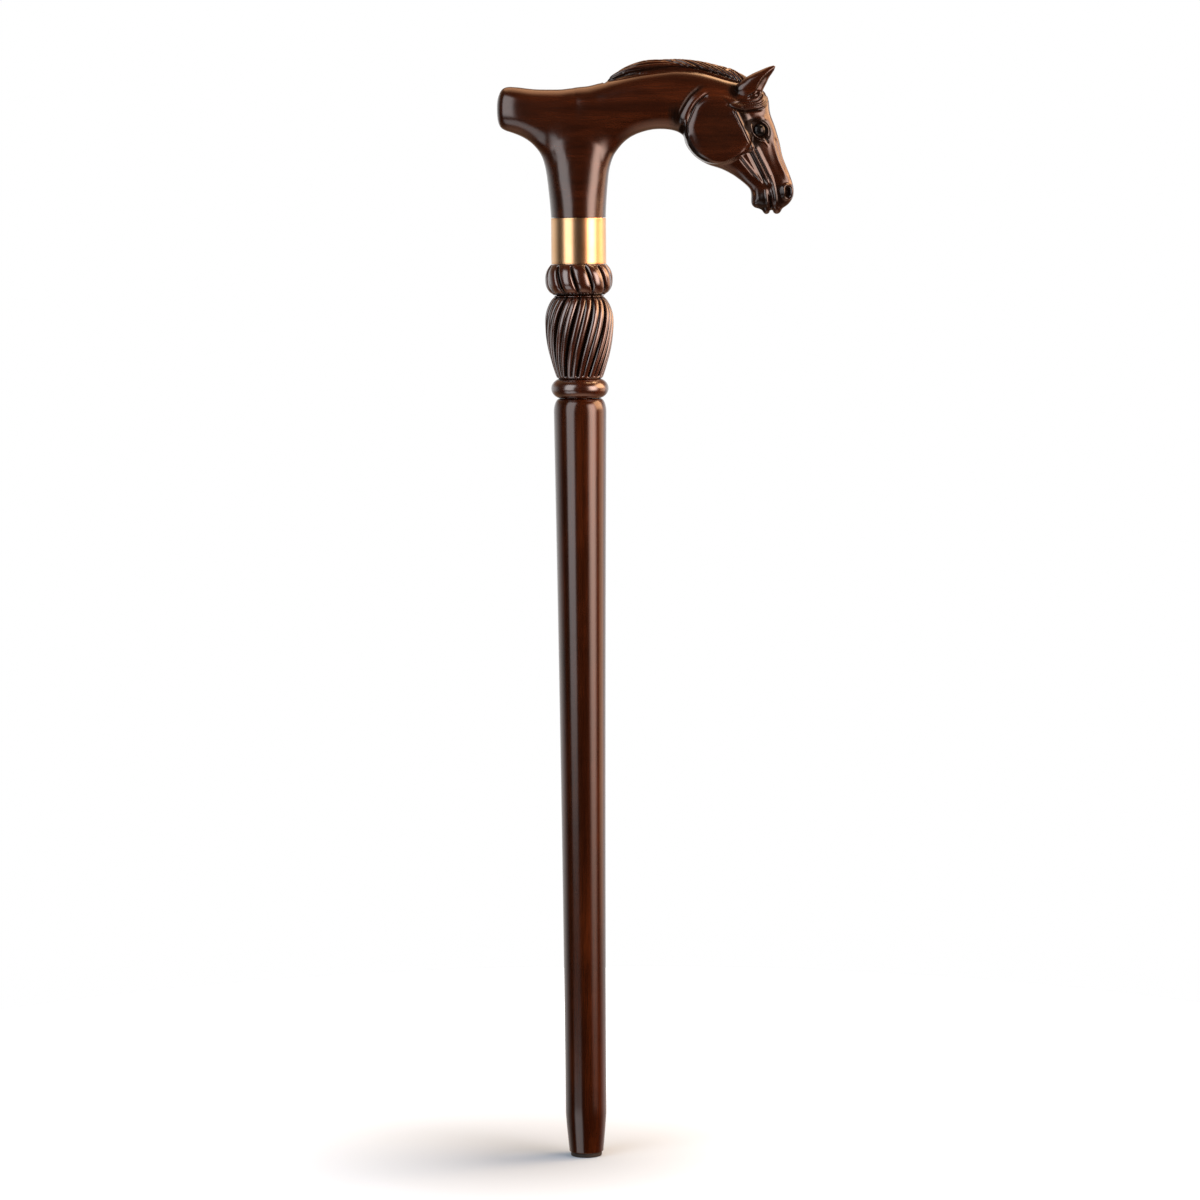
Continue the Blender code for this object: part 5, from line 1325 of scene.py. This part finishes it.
def build_world():
    """White where the camera sees it and behind the cane, dim in front, a soft fill for the rest."""
    world = bpy.data.worlds.new("studio")
    bpy.context.scene.world = world
    world.use_nodes = True
    world.node_tree.nodes.clear()
    nodes = Nodes(world.node_tree)
    y, z = nodes.add("SeparateXYZ", [nodes.add("TexCoord").outputs["Generated"]]).outputs[1:]
    from_level = nodes.fade(nodes.number("ABSOLUTE", z), 0.05, 0.45)
    behind = nodes.add("VectorMath", {0: nodes.mix(from_level, WHITE, DIM_ABOVE_AND_BELOW),
                                      "Scale": nodes.fade(y, -0.10, 0.70)}, operation="SCALE")
    below = nodes.add("VectorMath", {0: GLOW_FROM_BELOW, "Scale": nodes.fade(z, -0.70, -1.05)},
                      operation="SCALE")
    mirrored = nodes.add("VectorMath", (behind.outputs[0], below.outputs[0])).outputs[0]
    rays = nodes.add("LightPath").outputs
    colour = nodes.mix(rays["Is Camera Ray"], nodes.mix(rays["Is Glossy Ray"], FILL, mirrored), WHITE)
    nodes.add("OutputWorld", [nodes.add("Background", [colour]).outputs[0]])


FLOOR_RADIUS = 0.85
FLOOR_STEPS = 96
FLOOR_DROP = 0.0002
# Painted shadow on the floor: its darkest place, left of the foot, and the distances over which it brightens
# to white
FLOOR_PAINTED_SHADOW_MIDDLE = (-0.05, 0.0, 0.0)
FLOOR_PAINTED_SHADOW_TO_WHITE = (0.02, 0.40)
FLOOR_SEEN = (0.41, 0.54, 0.67, 1.0)
FLOOR_UNSEEN = (0.10, 0.10, 0.10, 1.0)


def floor_paint():
    """White away from the foot with a painted shadow round it, clear to reflections and from below."""
    mat = bpy.data.materials.new("white_floor")
    mat.use_nodes = True
    mat.node_tree.nodes.clear()
    nodes = Nodes(mat.node_tree)
    rays = nodes.add("LightPath").outputs
    seen = rays["Is Camera Ray"]
    paint = nodes.add("BsdfDiffuse", [nodes.mix(seen, FLOOR_UNSEEN, FLOOR_SEEN)]).outputs[0]
    where = nodes.add("TexCoord").outputs["Object"]
    distance = nodes.add("VectorMath", (where, FLOOR_PAINTED_SHADOW_MIDDLE), operation="DISTANCE").outputs["Value"]
    # White glow for the camera, dimmed towards the darkest place into a painted shadow
    white_glow_and_painted_shadow = nodes.number("MULTIPLY", seen, nodes.span(distance, *FLOOR_PAINTED_SHADOW_TO_WHITE))
    lit = nodes.add("AddShader", (paint, nodes.add("Emission", {"Strength": white_glow_and_painted_shadow}).outputs[0])).outputs[0]
    from_below = nodes.add("NewGeometry").outputs["Backfacing"]
    clear = nodes.number("MULTIPLY_ADD", from_below, seen, rays["Is Glossy Ray"])
    nothing = nodes.add("BsdfTransparent").outputs[0]
    nodes.add("OutputMaterial", [nodes.add("MixShader", (clear, lit, nothing)).outputs[0]])
    return mat


def build_floor():
    """Round of white floor, dimmest in its cast shadow and a painted shadow left of the foot, and white
    further out.
    """
    bm = bmesh.new()
    bmesh.ops.create_circle(bm, cap_ends=True, segments=FLOOR_STEPS, radius=FLOOR_RADIUS)
    bmesh.ops.translate(bm, verts=bm.verts, vec=(0.0, 0.0, -FLOOR_DROP))
    mesh = finished_mesh(bm, "floor")
    mesh.materials.append(floor_paint())
    in_scene("floor", mesh)


def build_camera():
    data = bpy.data.cameras.new("camera")
    data.sensor_width = 36.0
    data.lens = CAMERA_LENS
    data.clip_end = 50.0
    camera = in_scene("camera", data)
    tilt = Matrix.Rotation(math.pi / 2.0 - math.radians(CAMERA_TILT), 4, "X")
    roll = Matrix.Rotation(CAMERA_ROLL, 4, "Z")
    camera.matrix_world = Matrix.Translation(CAMERA_PLACE) @ tilt @ roll
    bpy.context.scene.camera = camera


def build_all():
    build_camera()
    build_world()
    build_floor()
    build_lights()
    bpy.context.scene.view_settings.view_transform = "Standard"
    add_piece("rubber_sole", pad_mesh(), "foot_pad", rubber())
    shaft_wood = varnished_wood("shaft_wood", 2, coat_ior=1.60)
    add_piece("tapered_shaft", shaft_mesh(), "shaft", shaft_wood)
    carved_wood = varnished_wood("carved_wood", 2, stained_and_shaded=True, depth=1.25, gloss=0.2, coat_ior=2.05)
    add_piece("spiral_section", section_mesh(), "carved_section", carved_wood)
    add_piece("brass_collar", collar_mesh(), "collar", brass())
    add_piece("threaded_stud", stud_mesh(), "joining_stud", steel())
    handle_wood = varnished_wood("handle_wood", 0, (0.0, 0.10, 0.0), True, 0.76, 0.19, 1.62)
    add_piece("horse_handle", handle_mesh(), "handle", handle_wood)
    glass = black_glass()
    for node in ("right_eye", "left_eye"):
        add_piece(node + "_glass", eye_mesh(node), node, glass)


build_all()
